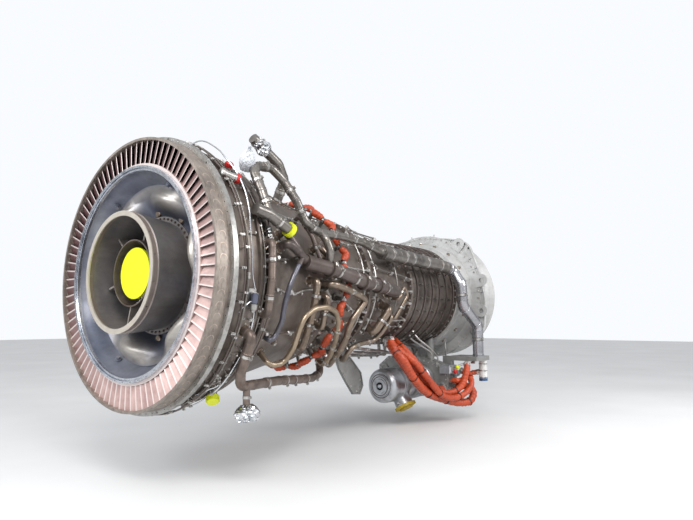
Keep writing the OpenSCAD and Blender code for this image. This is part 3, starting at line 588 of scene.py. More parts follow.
def route_path(corners, step=20):
    """Path through (station, clock, height over the cases) corners, with rounded corners."""
    line = [Vector(c) for c in corners]
    for _ in range(3):
        soft = [line[0]]
        for a, b in zip(line, line[1:]):
            soft += [a.lerp(b, 0.25), a.lerp(b, 0.75)]
        line = soft + [line[-1]]
    path = []
    for a, b in zip(line, line[1:]):
        count = max(1, int((over(*b) - over(*a)).length / step))
        path += [over(*a.lerp(b, k / count)) for k in range(count)]
    return path + [over(*line[-1])]


def clips_along(batch, path, radius, every=220, first=90):
    """Clips that hold a small tube to the case, each with a strap, a bracket and a bolt."""
    gone, due = 0.0, first
    for a, b in zip(path, path[1:]):
        gone += (b - a).length
        if gone < due:
            continue
        due = gone + every
        along = (b - a).normalized()
        out, high = lift(b)
        batch.hoop(b - along * 6, along, radius + 0.4, 2, 12, 14)
        side = along.cross(out).normalized()
        base = b + side * (radius + 9)
        batch.block(base, along, out, (13, 20, 3))
        batch.block(base - out * (high / 2), along, side, (11, max(4, high), 3))
        batch.bolt(base + out * 1.5, out, 8)


SMALL_TUBES = [
    # finish, radius, then corners of station, clock and height over the case
    ("grey_tube", 6, (1030, 52, 35), (1200, 52, 22), (1300, 58, 22), (1490, 58, 30)),
    ("bright", 5.5, (1030, 75, 50), (1100, 75, 26), (1260, 79, 24), (1490, 79, 32)),
    ("bright", 4.5, (1040, 104, 40), (1220, 104, 20), (1340, 112, 20), (1490, 112, 30)),
    ("tan", 7, (1030, 128, 45), (1160, 128, 26), (1330, 120, 26), (1480, 120, 32)),
    ("grey_tube", 5.5, (1050, 140, 40), (1200, 146, 24), (1480, 146, 30)),
    ("grey_tube", 6, (1050, 30, 35), (1250, 24, 22), (1480, 24, 30)),
    ("bright", 5, (1050, -20, 35), (1250, -14, 22), (1480, -14, 30)),
    ("bright", 6, (1540, 50, 50), (1660, 50, 26), (1860, 56, 26), (2180, 56, 44)),
    ("grey_tube", 5, (1540, 72, 50), (1700, 76, 26), (2000, 76, 26), (2180, 80, 44)),
    ("bright", 4.5, (1540, 84, 50), (1720, 84, 22), (1950, 92, 22), (2170, 92, 44)),
    ("tan", 6, (1540, 100, 50), (1680, 100, 24), (1800, 108, 24), (2170, 104, 44)),
    ("bright", 5.5, (1540, 118, 50), (1740, 122, 24), (2170, 122, 44)),
    ("grey_tube", 5, (1540, 130, 50), (1700, 134, 24), (2020, 130, 24), (2170, 130, 44)),
    ("bright", 5, (1540, 32, 50), (1700, 32, 24), (1980, 38, 24), (2180, 38, 44)),
    ("grey_tube", 5.5, (1540, 8, 50), (1800, 12, 24), (2180, 12, 44)),
    ("bright", 5, (1540, -25, 50), (1800, -30, 24), (2180, -30, 44)),
    ("grey_tube", 5.5, (1540, -70, 50), (1800, -80, 24), (2180, -80, 44)),
    ("bright", 5.5, (1600, 40, 30), (1600, 64, 30), (1600, 98, 30), (1600, 128, 30)),
    ("grey_tube", 5, (1930, 34, 34), (1930, 60, 34), (1930, 96, 34), (1930, 140, 34)),
    ("bright", 4.5, (1420, 44, 36), (1420, 70, 36), (1420, 100, 36), (1420, 138, 36)),
    ("grey_tube", 6, (370, 84, 40), (460, 84, 20), (700, 78, 18), (930, 78, 30)),
    ("bright", 5, (370, 98, 40), (440, 98, 16), (560, 101, 16), (720, 97, 16), (930, 97, 30)),
    ("tan", 6, (370, 118, 40), (520, 122, 18), (930, 122, 30)),
    ("bright", 4.5, (370, 60, 40), (520, 56, 18), (930, 56, 30)),
    ("grey_tube", 5.5, (370, 34, 40), (550, 38, 18), (930, 38, 30)),
    ("tan", 6, (370, -40, 40), (600, -46, 18), (930, -46, 30)),
    ("bright", 5.5, (370, -110, 40), (600, -116, 18), (930, -116, 30)),
    ("grey_tube", 5, (45, 24, 30), (98, 28, 34), (98, 60, 34), (98, 104, 34), (98, 150, 34), (98, 170, 34)),
    ("grey_tube", 5, (245, 30, 30), (245, 62, 30), (245, 110, 30), (245, 158, 30)),
]


def small_tubes():
    clips = Batch("tube_clips", "bright")
    nuts = Batch("tube_unions", "bright")
    tubes = {finish: Batch("small_tubes_" + finish, finish) for finish in ("grey_tube", "bright", "tan")}
    for finish, r, *corners in SMALL_TUBES:
        path = route_path(corners)
        tubes[finish].tube(path, r)
        clips_along(clips, path, r)
        for end, axis in both_ends(path):
            nuts.lathe(end, axis, [(0, r * 1.3), (4, r * 1.9), (22, r * 1.9), (26, r * 1.3)], 6)
            out, high = lift(end)
            nuts.lathe(end + out * 10, -out, [(0, 9), (6, 12), (high, 12), (high + 10, 12)], 12)
        mid = len(path) // 2
        nuts.lathe(path[mid], path[mid + 1] - path[mid],
                   [(0, r * 1.4), (3, r * 2), (14, r * 2), (14, r * 1.6), (20, r * 1.6), (20, r * 2),
                    (30, r * 2), (33, r * 1.4)], 6)


def harness():
    """Braided leads round the rear frame, with branches to the probes, and a plug at the side."""
    braids = [
        [(0, 31, 30), (30, 34, 90), (100, 38, 85), (145, 45, 70), (155, 54, 60), (145, 66, 50),
         (115, 78, 42), (125, 92, 34), (155, 98, 36)],
        [(172, 105, 36), (180, 116, 50), (175, 130, 45), (180, 144, 45), (150, 160, 40)],
    ]
    leads = [
        [(60, 26, 36), (75, 50, 36), (70, 85, 36), (80, 120, 36), (75, 165, 36), (85, 200, 36)],
        [(290, 48, 60), (285, 75, 58), (295, 100, 58), (285, 130, 58)],
    ]
    wires = Batch("harness", "foil")
    for corners in braids:
        wires.tube(route_path(corners, 12), 4.2, 8)
    for clock in (20, 50, 100, 140, 165, 195, 225, 255, 285, 315, 345):
        branch = [(167, clock, 36), (160, clock + 2, 40), (100, clock + 4, 32), (75, clock + 7, 24)]
        wires.tube(route_path(branch, 12), 3.4, 8)
    dark = Batch("harness_leads", "dark")
    for corners in leads:
        dark.tube(route_path(corners, 12), 4.2, 8)
    clips = Batch("harness_clips", "bright")
    for corners in braids[1:] + leads:
        clips_along(clips, route_path(corners, 12), 4.5, 160, 50)
    start, axis = over(158, 99.5, 38), around(100)
    plug = Batch("harness_plug", "hose")
    plug.lathe(start, axis, [(0, 11), (6, 19), (50, 19), (54, 16)], 20)
    nut = Batch("harness_plug_nut", "bright")
    nut.lathe(start + axis * 54, axis, [(0, 17), (3, 21), (28, 21), (34, 15), (46, 10)], 12)
    nut.block(start + axis * 30 - outward(100) * 24, axis, outward(100), (100, 50, 6))
    for name, finish, phase in (("twisted_leads", "black", 0.0), ("twisted_lead_bare", "foil", pi)):
        line = []
        for k in range(150):
            a = phase + k * 0.62
            line.append(over(285, 72 + 20.0 * k / 149, 50 + 9 * sin(a)) + FORWARD * 9 * cos(a))
        Batch(name, finish).tube(line, 5.5, 7)


def wrap(name, finish, centre, axis, radius, length, seed, flare):
    """Crumpled sheet gathered round a tube end."""
    roll = random.Random(seed)
    axis = axis.normalized()
    side = axis.orthogonal().normalized()
    other = axis.cross(side)
    sides, rows = 48, []
    folds = [(roll.randint(3, 11), roll.uniform(0, 6.28), roll.uniform(0.04, 0.13)) for _ in range(6)]
    for i in range(22):
        t = i / 21
        swell = 0.62 + 0.55 * sin(pi * min(1.0, t * 1.1)) + flare * t
        row = []
        for k in range(sides):
            a = 2 * pi * k / sides
            fold = sum(h * sin(n * a + p + 3.0 * t * n * 0.3) for n, p, h in folds)
            crease = roll.uniform(-0.13, 0.13)
            r = radius * (swell + (fold * 0.7 + crease) * (0.25 + 0.75 * t))
            row.append(centre + axis * (length * (t + roll.uniform(-0.015, 0.015)))
                       + (side * cos(a) + other * sin(a)) * r)
        rows.append(row)
    Batch(name, finish, 14).grid(rows)


def caps_and_wraps():
    """Protective caps on open ends and crumpled wraps on the tubes that they close."""
    red = Batch("red_caps", "red")
    stub = Batch("cap_stubs", "bright")
    base, way = spot(50, 50, 785), (FORWARD + around(52) * 0.25).normalized()
    stub.lathe(base, way, [(0, 18), (4, 24), (12, 24), (12, 20), (85, 20), (85, 24), (93, 24)])
    red.lathe(base + way * 93, way, [(0, 27), (22, 27), (29, 20)])
    boss, out = spot(178, 41.5, 742), outward(41.5)
    stub.lathe(boss, out, [(0, 26), (12, 26), (12, 18), (30, 18)], 20)
    red.lathe(boss + out * 28, out, [(0, 24), (20, 24), (27, 18)])
    foot, out = spot(215, 149, 735), (outward(149) + BACK * 0.3).normalized()
    stub.lathe(foot, out, [(0, 34), (10, 34), (10, 26), (55, 26)])
    Batch("yellow_stub_cap", "yellow").lathe(foot + out * 52, out, [(0, 36), (30, 36), (36, 30)], 28)
    top = spot(455, 25.5, 930)
    lean = (spot(583, 26.4, 876) - top).normalized()
    wrap("foil_top", "foil", top + lean * 64, -lean, 31, 56, 3, 0.12)
    wrap("foil_sleeve", "foil", top + lean * 150, -lean, 40, 100, 21, 0.10)
    wrap("plastic_top", "plastic", spot(270, 44, 790), outward(32) + BACK * 0.25, 44, 140, 8, -0.50)
    wrap("foil_drain", "foil", spot(300, 137.5, 832.3) - UP * 98, Vector((0.05, -0.12, -1.0)), 50, 86,
         14, 0.30)


# Pipework: the part's own routes, drawn with smooth bends, weld beads, clamps and feet

# node: its finish, then pipes of a diameter, a bend and corners. A corner is a station, a clock and
# a height over the case. Without the height it's a foot on the case.
PIPES = {
    "bleed_tube": ("grey_tube", [
        (52, 60, (275, 68, 85), (262, 58, 102), (262, 49, 119), (330, 44, 146), (470, 41, 186),
         (560, 45, 169), (610, 54, 145), (664, 63, 113), (815, 66, 111), (1113, 64, 160),
         (1330, 64, 147), (1560, 65, 117), (1700, 65, 113)),
        (110, 130, (1640, 65, 113), (1881, 64, 112), (2209, 64, 134), (2495, 65, 130),
         (2690, 65.4, 126), (2745, 66.2, 125)),
        (64, 90, (175, 67, 60), (275, 68, 85), (430, 71.5, 106)),
        (50, 50, (828, 66, 118), (828, 71, 138), (848, 76.5, 138), (880, 83, 98)),
        (46, 40, (905, 96, 42), (960, 101, 42), (1000, 108, 42), (1000, 108))]),
    "top_stub": ("grey_tube", [
        (64, 70, (455, 25.5, 278), (583, 26.4, 250), (690, 27.6, 226), (775, 29, 153), (775, 29))]),
    "side_manifold": ("dark", [
        (90, 70, (640, 83, 58), (759, 84, 75), (885, 84.5, 96), (1036, 87, 154), (1235, 90, 155),
         (1471, 91, 119), (1700, 93, 108), (1800, 94, 105), (1800, 94)),
        (50, 50, (450, 77), (450, 77, 82), (532, 79.5, 82), (615, 82, 71), (680, 83.3, 62)),
        (34, 30, (600, 81, 75), (540, 86, 77)),
        (44, 60, (470, 70), (470, 70, 60), (551, 77, 68), (640, 83, 60)),
        (28, 40, (735, 54), (735, 54, 60), (744, 68, 84), (800, 80, 78))]),
    "cooling_tubes": ("tan", [
        (46, 90, (915, 93), (915, 93, 97), (1035, 94.5, 145), (1207, 98, 146), (1308, 101, 141),
         (1250, 107, 140), (1185, 115, 144), (1215, 124, 144), (1241, 135, 145), (1280, 148, 146),
         (1345, 156, 137), (1345, 156)),
        (44, 80, (759, 92), (759, 92, 78), (766, 108, 69), (790, 124, 71), (827, 133, 74), (827, 133)),
        (38, 38, (900, 100), (900, 100, 79), (930, 120, 85), (930, 120)),
        (38, 38, (840, 72), (840, 72, 67), (915, 78, 82), (915, 78))]),
    "loop_pipe": ("gold", [
        (33, 120, (470, 133), (470, 133, 111), (590, 133, 128), (616, 125, 119), (621, 115, 100),
         (649, 110, 94), (720, 106, 102), (830, 105, 125), (930, 107, 145), (1000, 113, 164),
         (1080, 125, 161), (1150, 138, 158), (1215, 152, 159), (1215, 152))]),
    "drain_manifold": ("brown", [
        (54, 90, (167, 115), (167, 115, 82), (184, 130, 96), (250, 137, 122), (356, 138, 144),
         (637, 143, 160), (941, 151, 182), (1183, 159, 199), (1400, 167, 158), (1400, 167))]),
    "side_tube": ("brown", [
        (40, 40, (262, 79), (262, 79, 82), (250, 94, 79), (258, 108, 81), (258, 108))]),
    "drain_hose": ("slate", [
        (30, 100, (600, 81, 75), (540, 86, 77), (500, 91, 68), (470, 96, 63), (450, 104, 59),
         (462, 112, 61), (446, 119, 63), (400, 121, 67), (400, 121))]),
    "compressor_tubes": ("tan", [
        (60, 55, (1750, 107), (1750, 107, 91), (1650, 128, 94), (1650, 128)),
        (38, 90, (1835, 114), (1835, 114, 88), (1781, 129, 89), (1736, 136, 97), (1574, 137, 98),
         (1440, 138, 109), (1420, 143, 128), (1463, 152, 139), (1463, 152)),
        (28, 34, (1890, 100), (1890, 100, 78), (1965, 88, 81), (2020, 96, 86), (1905, 118, 79),
         (1905, 118))]),
    "oil_lines": ("bright", [
        (26, 34, (1600, 146), (1600, 146, 77), (2350, 163, 135), (2350, 163)),
        (26, 34, (1640, 153), (1640, 153, 80), (2350, 170, 135), (2350, 170)),
        (26, 34, (1680, 160), (1680, 160, 83), (2350, 177, 135), (2350, 177))]),
    "far_tubes": ("grey_tube", [
        (52, 60, (480, -50), (480, -50, 113), (815, -58, 111), (1330, -60, 147), (1560, -61, 117),
         (1900, -62, 109), (1900, -62)),
        (80, 70, (560, -92), (560, -92, 104), (885, -92, 121), (1235, -94, 160), (1700, -96, 108),
         (1700, -96)),
        (44, 45, (759, -108), (759, -108, 90), (1000, -120, 134), (1241, -135, 145),
         (1345, -150, 137), (1345, -150)),
        (50, 50, (1750, -112), (1750, -112, 86), (1600, -132, 90), (1600, -132))]),
}

# Posts under the pipes: node, station, clock, height over the case and diameter
POSTS = [("bleed_tube", 262, 68, 82, 36), ("bleed_tube", 1900, 64, 99, 50),
         ("bleed_tube", 2725, 65.8, 105, 36), ("side_manifold", 830, 84.3, 65, 40)]


def rounded(corners, bend):
    """Path with round bends, and the places where each bend begins and ends."""
    nearly_straight = 1.569
    path, marks = [corners[0]], []
    for before, corner, after in zip(corners, corners[1:], corners[2:]):
        u, v = before - corner, after - corner
        half = u.angle(v) / 2
        reach = bend / tan(half) if half < nearly_straight else 0.0
        cut = min(reach, 0.48 * u.length, 0.48 * v.length)
        if cut < 2:
            path.append(corner)
            continue
        start, end = corner + u.normalized() * cut, corner + v.normalized() * cut
        path += bend_line(start, corner, end)
        marks += [(start, -u.normalized()), (end, v.normalized())]
    return path + [corners[-1]], marks


def pipework():
    clamps = Batch("pipe_clamps", "bright")
    feet = Batch("pipe_feet", "tan")
    for node, (finish, routes) in PIPES.items():
        pipes = Batch(node + "_pipe", finish, 60, node)
        for width, bend, *route in routes:
            r = width / 2
            corners = [over(*c) for c in route]
            path, marks = rounded(corners, bend)
            pipes.tube(path, r, 28)
            for place, way in (marks if width >= 40 else []):
                pipes.lathe(place - way * 3, way, [(0, r), (1, r + 1.1), (5, r + 1.1), (6, r)])
            for a, b in zip(corners, corners[1:]):
                length = (b - a).length
                if length < 130:
                    continue
                way, out = (b - a).normalized(), lift(a + b)[0]
                up = Vector((0, 0.3, 1)) if width >= 100 or node == "side_tube" else out
                for c in (a.lerp(b, t) for t in ([0.5] if length < 300 else [0.3, 0.7])):
                    clamps.clamp(c, way, r + 0.5, 16, up)
                    pipes.lathe(c - way * 20, way, [(0, r), (4, r + 3), (9, r + 3), (11, r)])
                    pipes.lathe(c + way * 9, way, [(0, r), (2, r + 3), (7, r + 3), (11, r)])
            for x, clock in (c for c in (route[0], route[-1]) if len(c) == 2):
                out, foot = outward(clock), over(x, clock, -4)
                feet.lathe(foot, out, [(0, r + 14), (10, r + 14), (13, r + 11), (13, r + 4), (26, r + 1)])
                for place in circle(foot + out * 12, FORWARD, around(clock), r + 10, 6, 0.4):
                    clamps.bolt(place, out, 8)
        for owner, x, clock, high, width in POSTS:
            if owner == node:
                r = width / 2
                pipes.lathe(over(x, clock, -4), outward(clock),
                            [(0, r + 12), (10, r + 12), (12, r), (high + 4, r)])
        if node == "drain_manifold":
            root = over(300, 137.5, 129)
            pipes.lathe(root, -UP, [(0, 19), (186, 19), (190, 17)])
            clamps.clamp(root - UP * 60, UP, 19.5, 14, outward(90))
        if node == "side_manifold":
            main = routes[0][2:]
            for c in (over(*main[k]) for k in (2, 4, 5)):
                pipes.lathe(c - FORWARD * 10, FORWARD, [(0, 46), (0, 56), (3, 59), (17, 59), (20, 56),
                                                        (20, 46)], 32)
                clamps.block(c + outward(70) * 60, FORWARD, outward(70), (20, 20, 12))
                clamps.bolt(c + outward(70) * 64 + around(70) * 10, around(70), 10)
    # Polished pipe, with weld beads at its bends and a clamp between two collars on three straights
    start, before = over(2745, 66.2, 125), over(2690, 65.4, 126)
    way = (start - before).normalized()
    corners = [start + way * 0.5, start + way * 102, Vector((2852, -600, 80)),
               Vector((2868, -605, -115)), Vector((3190, -600, -300)), Vector((3190, -600, -589.5))]
    shiny = Batch("polished_pipe_skin", "polished", 50, "polished_pipe")
    path, marks = rounded(corners, 90)
    shiny.tube(path, 50, 36)
    for place, axis in marks + [(corners[-1] + UP * 14, UP)]:
        shiny.lathe(place - axis * 6, axis, [(0, 50), (2, 54), (10, 54), (12, 50)], 36)
    for k, t in ((2, 0.5), (4, 0.45), (0, 0.4)):
        a, b = corners[k:k + 2]
        c, axis = a.lerp(b, t), (b - a).normalized()
        clamps.clamp(c, axis, 50.5, 22, Vector((-0.5, -1.0, 0.3)))
        shiny.lathe(c - axis * 18, axis, [(0, 50), (6, 58), (10, 50)], 36)
        shiny.lathe(c + axis * 8, axis, [(0, 50), (4, 58), (10, 50)], 36)


def front_plate():
    """Pale bracket plate round the front frame, with a raised rim, ribs, bolts and holes."""
    outline = [(0, 606), (24, 641), (39, 707), (47, 722), (74, 664), (95, 681), (117, 743), (135, 700),
               (152, 625), (180, 606)]
    outline += [(360 - clock, r) for clock, r in reversed(outline[1:-1])]
    corners = [spot(0, clock, r) for clock, r in outline]
    line = []
    for before, corner, after in zip(corners[-1:] + corners, corners, corners[1:] + corners[:1]):
        start, end = (corner + (other - corner).normalized() * 55 for other in (before, after))
        line += bend_line(start, corner, end)
    plate = Batch("front_plate", "warm")
    back, rim, face = 3238, 3214, 3226
    plate.grid([[p * (1 - inset / p.length) + FORWARD * x for p in line]
                for x, inset in ((back, 120), (back, 0), (rim + 3, 0), (rim, 3), (rim, 12), (face, 15),
                                 (face, 120))], loop=True)
    bolts = Batch("front_plate_bolts", "bright")
    holes = Batch("front_plate_holes", "black")
    for clock in (12, 30, 56, 66, 88, 110, 126, 142):
        for c in (-clock, clock):
            plate.block(spot(3221, c, 605), outward(c), BACK, (85, 8, 16))
    for clock in (8, 18, 52, 60, 70, 84, 92, 112, 120, 132, 146, 160):
        for c in (-clock, clock):
            bolts.bolt(spot(face, c, 600 + 20 * sin(clock)), BACK, 13)
    # Painted shade: black discs inside bright rims stand in for the shaded holes
    for clock, r in ((-48, 690), (48, 690), (-118, 700), (118, 700)):
        centre = spot(face, clock, r)
        holes.lathe(centre, BACK, [(-1, 14), (0.8, 14)])
        bolts.lathe(centre, BACK, [(-1, 20), (3, 20), (3, 14.5), (0.4, 14.5)])


# Fuel ring and hoses

def fuel_sleeves():
    """Padded sleeves between the fuel nozzles, dark bands at their ends and a tee on each nozzle."""
    sleeves = Batch("fuel_sleeves", "orange", 50, "fuel_manifold")
    bands = Batch("fuel_sleeve_bands", "black")
    tees = Batch("fuel_tees", "bright")
    for i in range(30):
        clock = 12.0 * i + 6
        out, way, top = outward(clock), around(clock), spot(1130, clock, 589)
        tees.lathe(top - out * 16, out, [(0, 15), (4, 18), (18, 18), (22, 13), (30, 13)], 6)
        tees.lathe(top - way * 22, way, [(0, 10.5), (44, 10.5)], 14)
        for place in circle(over(1130, clock, 13), FORWARD, way, 22, 2, 0.7):
            tees.bolt(place, out, 9)
        bow = 30 if i % 2 else -22
        line = [spot(1130 + bow * sin(pi * t) + 6 * sin(7 * t + i),
                     clock + 1.3 + 9.4 * t, 590 + 4 * sin(pi * t))
                for t in (k / 32 for k in range(33))]
        roll = dice.uniform(0, 6)
        sleeves.tube(line, lambda t, a: 15.5 + 10.5 * max(0.0, sin(pi * t)) ** 0.5
                     + 1.4 * sin(31 * t + roll + a), 18)
        for end, axis in both_ends(line, 1):
            bands.lathe(end, axis, [(-4, 10.5), (-4, 15), (10, 16.5), (10, 12)], 16)


# The sleeved hoses: radius, then corners of x, y and z
HOSES = [
    (36, (2050, -330, -405), (2030, -400, -500), (2060, -462, -580), (2208, -465, -727),
     (2420, -465, -862), (2687, -480, -945), (2900, -530, -995), (3010, -590, -985),
     (3045, -600, -900), (2985, -540, -850), (2985, -442, -850)),
    (34, (2140, -262, -440), (2110, -350, -520), (2150, -400, -610), (2309, -400, -739),
     (2526, -400, -876), (2690, -404, -882), (2849, -404, -876)),
    (31, (2230, -200, -400), (2200, -330, -520), (2270, -418, -640), (2440, -430, -775),
     (2640, -450, -870), (2800, -500, -900), (2900, -560, -840), (2950, -590, -700),
     (2980, -580, -640)),
    (30, (2160, -220, -410), (2160, -360, -500), (2230, -470, -610), (2400, -500, -760),
     (2600, -500, -880), (2800, -470, -960), (2950, -440, -965), (3030, -380, -930)),
    (29, (2300, -190, -400), (2265, -370, -520), (2330, -485, -680), (2470, -520, -830),
     (2660, -535, -925), (2860, -575, -925), (2985, -610, -850), (3060, -560, -765),
     (3075, -470, -720)),
    (24, (2900, -441, -800), (2905, -520, -800), (3000, -545, -790), (3100, -530, -780),
     (3230, -500, -758), (3290, -561, -745)),
]


def hose_bundle():
    """The sleeved hoses at the belly and the gearbox, crinkled, with ties round them."""
    hoses = Batch("hose_bundle", "orange", 50, "orange_hoses")
    ties = Batch("hose_ties", "black")
    ends = Batch("hose_ends", "bright")
    for number, (radius, *corners) in enumerate(HOSES):
        path = curve_points(corners, 6.2)

        def crinkled(t, a):
            gone = t * len(path)
            wave = 0.060 * sin(gone * 1.35 + a + 1.5 * sin(2 * a + number))
            return radius * (0.93 + wave + 0.035 * sin(gone * 0.5 - 2 * a + number))

        hoses.tube(path, crinkled, 28)
        for k in range(22, len(path) - 10, 46):
            ties.hoop(path[k], path[k + 1] - path[k], radius, 2.6, 7, 20)
        for end, axis in both_ends(path):
            ends.lathe(end - axis * 4, axis, [(0, radius * 0.9), (6, radius * 1.12), (30, radius * 1.12),
                                              (36, radius * 1.02)], 6)


# Fittings on the cases and the accessories

def case_bosses():
    """Plugged bosses in rings round the cases."""
    bases = Batch("boss_bases", "tan")
    plugs = Batch("boss_plugs", "bright")
    # Station, number, first clock and size
    for x, count, first, size in ((560, 12, 7, 17), (880, 16, 3, 15), (1200, 15, 0, 14), (1300, 24, 5, 13),
                                  (1440, 18, 9, 15), (1660, 20, 2, 13), (1860, 16, 8, 14),
                                  (2100, 24, 4, 12), (3120, 20, 6, 14)):
        for i in range(count):
            clock = 360.0 * i / count + first + dice.uniform(-2.5, 2.5)
            out, foot = outward(clock), over(x, clock, -4)
            bases.lathe(foot, out, [(0, size * 1.35), (6, size * 1.35), (10, size), (14, size)], 18)
            plugs.lathe(foot + out * 14, out, [(0, size * 0.72), (9, size * 0.72), (11, size * 0.60)], 6)
            for a in (0.8, 2.4, 4.0, 5.5):
                side = FORWARD * cos(a) + around(clock) * sin(a)
                plugs.bolt(foot + out * 6 + side * size * 1.12, out, size * 0.42, washer=False)


ACCESSORY_LINES = [
    # finish, radius, then corners of x, y and z
    ("bright", 10, (2970, -460, -690), (3030, -500, -665), (3090, -560, -650), (3095, -600, -640)),
    ("bright", 8, (2868, -330, -655), (2840, -350, -590), (2720, -330, -500), (2600, -290, -420),
     (2560, -250, -350)),
    ("bright", 9, (2900, -250, -640), (2880, -260, -560), (2780, -230, -500), (2640, -200, -430),
     (2600, -190, -385)),
    ("grey_tube", 14, (2960, -60, -595), (2955, -65, -530), (2860, -80, -500), (2700, -90, -470),
     (2640, -90, -420)),
    ("grey_tube", 11, (2930, 100, -595), (2925, 105, -540), (2820, 120, -500), (2640, 130, -460),
     (2560, 130, -410)),
    ("bright", 9, (2560, -160, -662), (2540, -165, -600), (2470, -170, -540), (2400, -170, -470),
     (2360, -165, -400)),
    ("bright", 7.5, (3140, -250, -735), (3150, -250, -660), (3140, -280, -600), (3100, -300, -520),
     (3090, -300, -430)),
    ("grey_tube", 12, (3190, 100, -738), (3200, 110, -640), (3190, 120, -560), (3170, 130, -500)),
]


def accessory_fittings():
    """Bolts, cover rings, lines and valves on the gearbox, the starter, the pumps and the filter."""
    bolts = Batch("accessory_bolts", "bright")
    joint = Batch("gearbox_joint", "cast")
    middle = Vector((0, -60, -780))
    gearbox = [Vector((0, y, z)) for y, z in (
        (-440, -900), (-440, -730), (-330, -660), (-140, -600), (200, -600), (310, -690), (310, -860),
        (230, -950), (-390, -950))]
    for a, b in zip(gearbox, gearbox[1:] + gearbox[:1]):
        length, up = (b - a).length, FORWARD.cross(b - a).normalized()
        count = max(2, round(length / 45))
        for k in range(count):
            p = a.lerp(b, (k + 0.5) / count)
            p += (middle - p).normalized() * 14
            bolts.bolt(p + FORWARD * 2850, BACK, 11)
            bolts.bolt(p + FORWARD * 3050, FORWARD, 11)
        joint.block(a.lerp(b, 0.5) + FORWARD * 2950 + up * 2, FORWARD, up, (22, length, 10))
        ribs = count // 2
        for k in range(ribs):
            joint.block(a.lerp(b, (k + 0.5) / ribs) + FORWARD * 2915, FORWARD, up, (100, 6, 12))
    for y, z in ((-380, -860), (240, -720)):
        joint.lathe(Vector((2852, y, z)), BACK, [(0, 44), (10, 44), (14, 38), (14, 26), (8, 22)], 28)
        for place in circle(Vector((2841, y, z)), FAR, UP, 36, 6):
            bolts.bolt(place, BACK, 8)
    # Rows of bolts round the starter, the pumps and their pads
    for x, y, z, radius, count, way, size in (
            (2829, -160, -810, 139, 16, BACK, 12), (2203.5, -160, -810, 134, 12, BACK, 9),
            (2175, -160, -810, 104, 10, BACK, 7), (2799, 130, -790, 81, 10, BACK, 10),
            (3105, -250, -810, 90, 10, FORWARD, 10), (3105, 100, -800, 80, 10, FORWARD, 10)):
        for place in circle(Vector((x, y, z)), FAR, UP, radius, count, 0.2):
            bolts.bolt(place, way, size)
    axis = Vector((0, -160, -810))
    rings = Batch("starter_rings", "alu")
    for x in (2340, 2360, 2560, 2580, 2600, 2740):
        rings.lathe(axis + FORWARD * x, FORWARD, [(0, 145), (2, 149), (8, 149), (10, 145)], 48)
    for way in circle(Vector((0, 0, 0)), FAR, UP, 1, 10):
        rings.block(axis + FORWARD * 2660 + way * 147, FORWARD, way, (100, 5, 10))
    rings.lathe(axis + FORWARD * 2166.5, BACK, [(0, 20), (10, 19), (18, 13)])
    # Painted shade: dark rings stand in for the shaded grooves on the starter face
    grooves = Batch("starter_grooves", "dark")
    for x, inner, outer in ((2161.8, 74, 82), (2174, 99, 102)):
        grooves.lathe(axis + FORWARD * x, BACK, [(-1, inner), (0.4, inner), (0.4, outer), (-1, outer)], 48)
    clamps = Batch("accessory_clamps", "bright")
    clamps.clamp(axis + FORWARD * 2440, FORWARD, 145.5, 20, Vector((0, -0.8, 0.6)))
    clamps.clamp(axis + FORWARD * 2400 + outward(150) * 176, outward(150), 75.5, 16, BACK)
    filter_foot = Vector((3290, -600, -830))
    for high in (35, 100, 165):
        clamps.clamp(filter_foot + UP * high, UP, 39, 10, BACK + NEAR)
    Batch("filter_base", "blue").lathe(filter_foot, UP, [(0, 30), (3, 40), (26, 40), (28, 38.7)], 36)
    # Valve block at the side of the gearbox
    block = Batch("valve_block", "alu")
    block.block(Vector((2895, -435, -700)), FORWARD, NEAR, (150, 75, 110))
    block.block(Vector((2990, -440, -745)), FORWARD, NEAR, (70, 55, 90))
    for x, z in ((2835, -728), (2955, -672), (2835, -672), (2955, -728)):
        bolts.bolt(Vector((x, -489, z)), NEAR, 12)
    for x, z, size in ((2918, -680, 15), (2866, -715, 16), (2990, -745, 14)):
        block.lathe(Vector((x, -484, z)), NEAR, [(0, size), (10, size), (12, size * 0.7),
                                                 (20, size * 0.7)], 6)
    for name, finish, x, z, size in (("valve_knob", "yellow", 2918, -680, 19),
                                     ("valve_cap", "red", 2866, -715, 20)):
        Batch(name, finish).lathe(Vector((x, -502, z)), NEAR, [(0, size * 0.8), (3, size), (20, size),
                                                               (26, size * 0.7)], 20)
    lines = {"bright": Batch("accessory_lines", "bright"), "grey_tube": Batch("accessory_tubes", "grey_tube")}
    for finish, r, *corners in ACCESSORY_LINES:
        path = curve_points(corners, 12)
        lines[finish].tube(path, r, 14)
        for end, axis in both_ends(path, 1):
            lines["bright"].lathe(end - axis * 3, axis, [(0, r * 1.5), (14, r * 1.6), (16, r * 1.3),
                                                         (26, r * 1.3)], 6)
    # Edge flange and bolts of the hanging plate
    edge = Batch("plate_edge", "cast")
    plate = [Vector((x, -110, z)) for x, z in (
        (1730, -440), (1765, -510), (1860, -590), (1960, -680), (1990, -790), (1945, -860), (1850, -850),
        (1760, -750), (1670, -640), (1620, -540), (1605, -440))]
    for a, b in zip(plate, plate[1:]):
        centre, inward = a.lerp(b, 0.5), FAR.cross(b - a).normalized()
        edge.block(centre + inward * 6, b - a, NEAR, ((b - a).length, 8, 14))
        bolts.bolt(centre + inward * 25 + FAR * 3, NEAR, 12)


# Stage, in metres

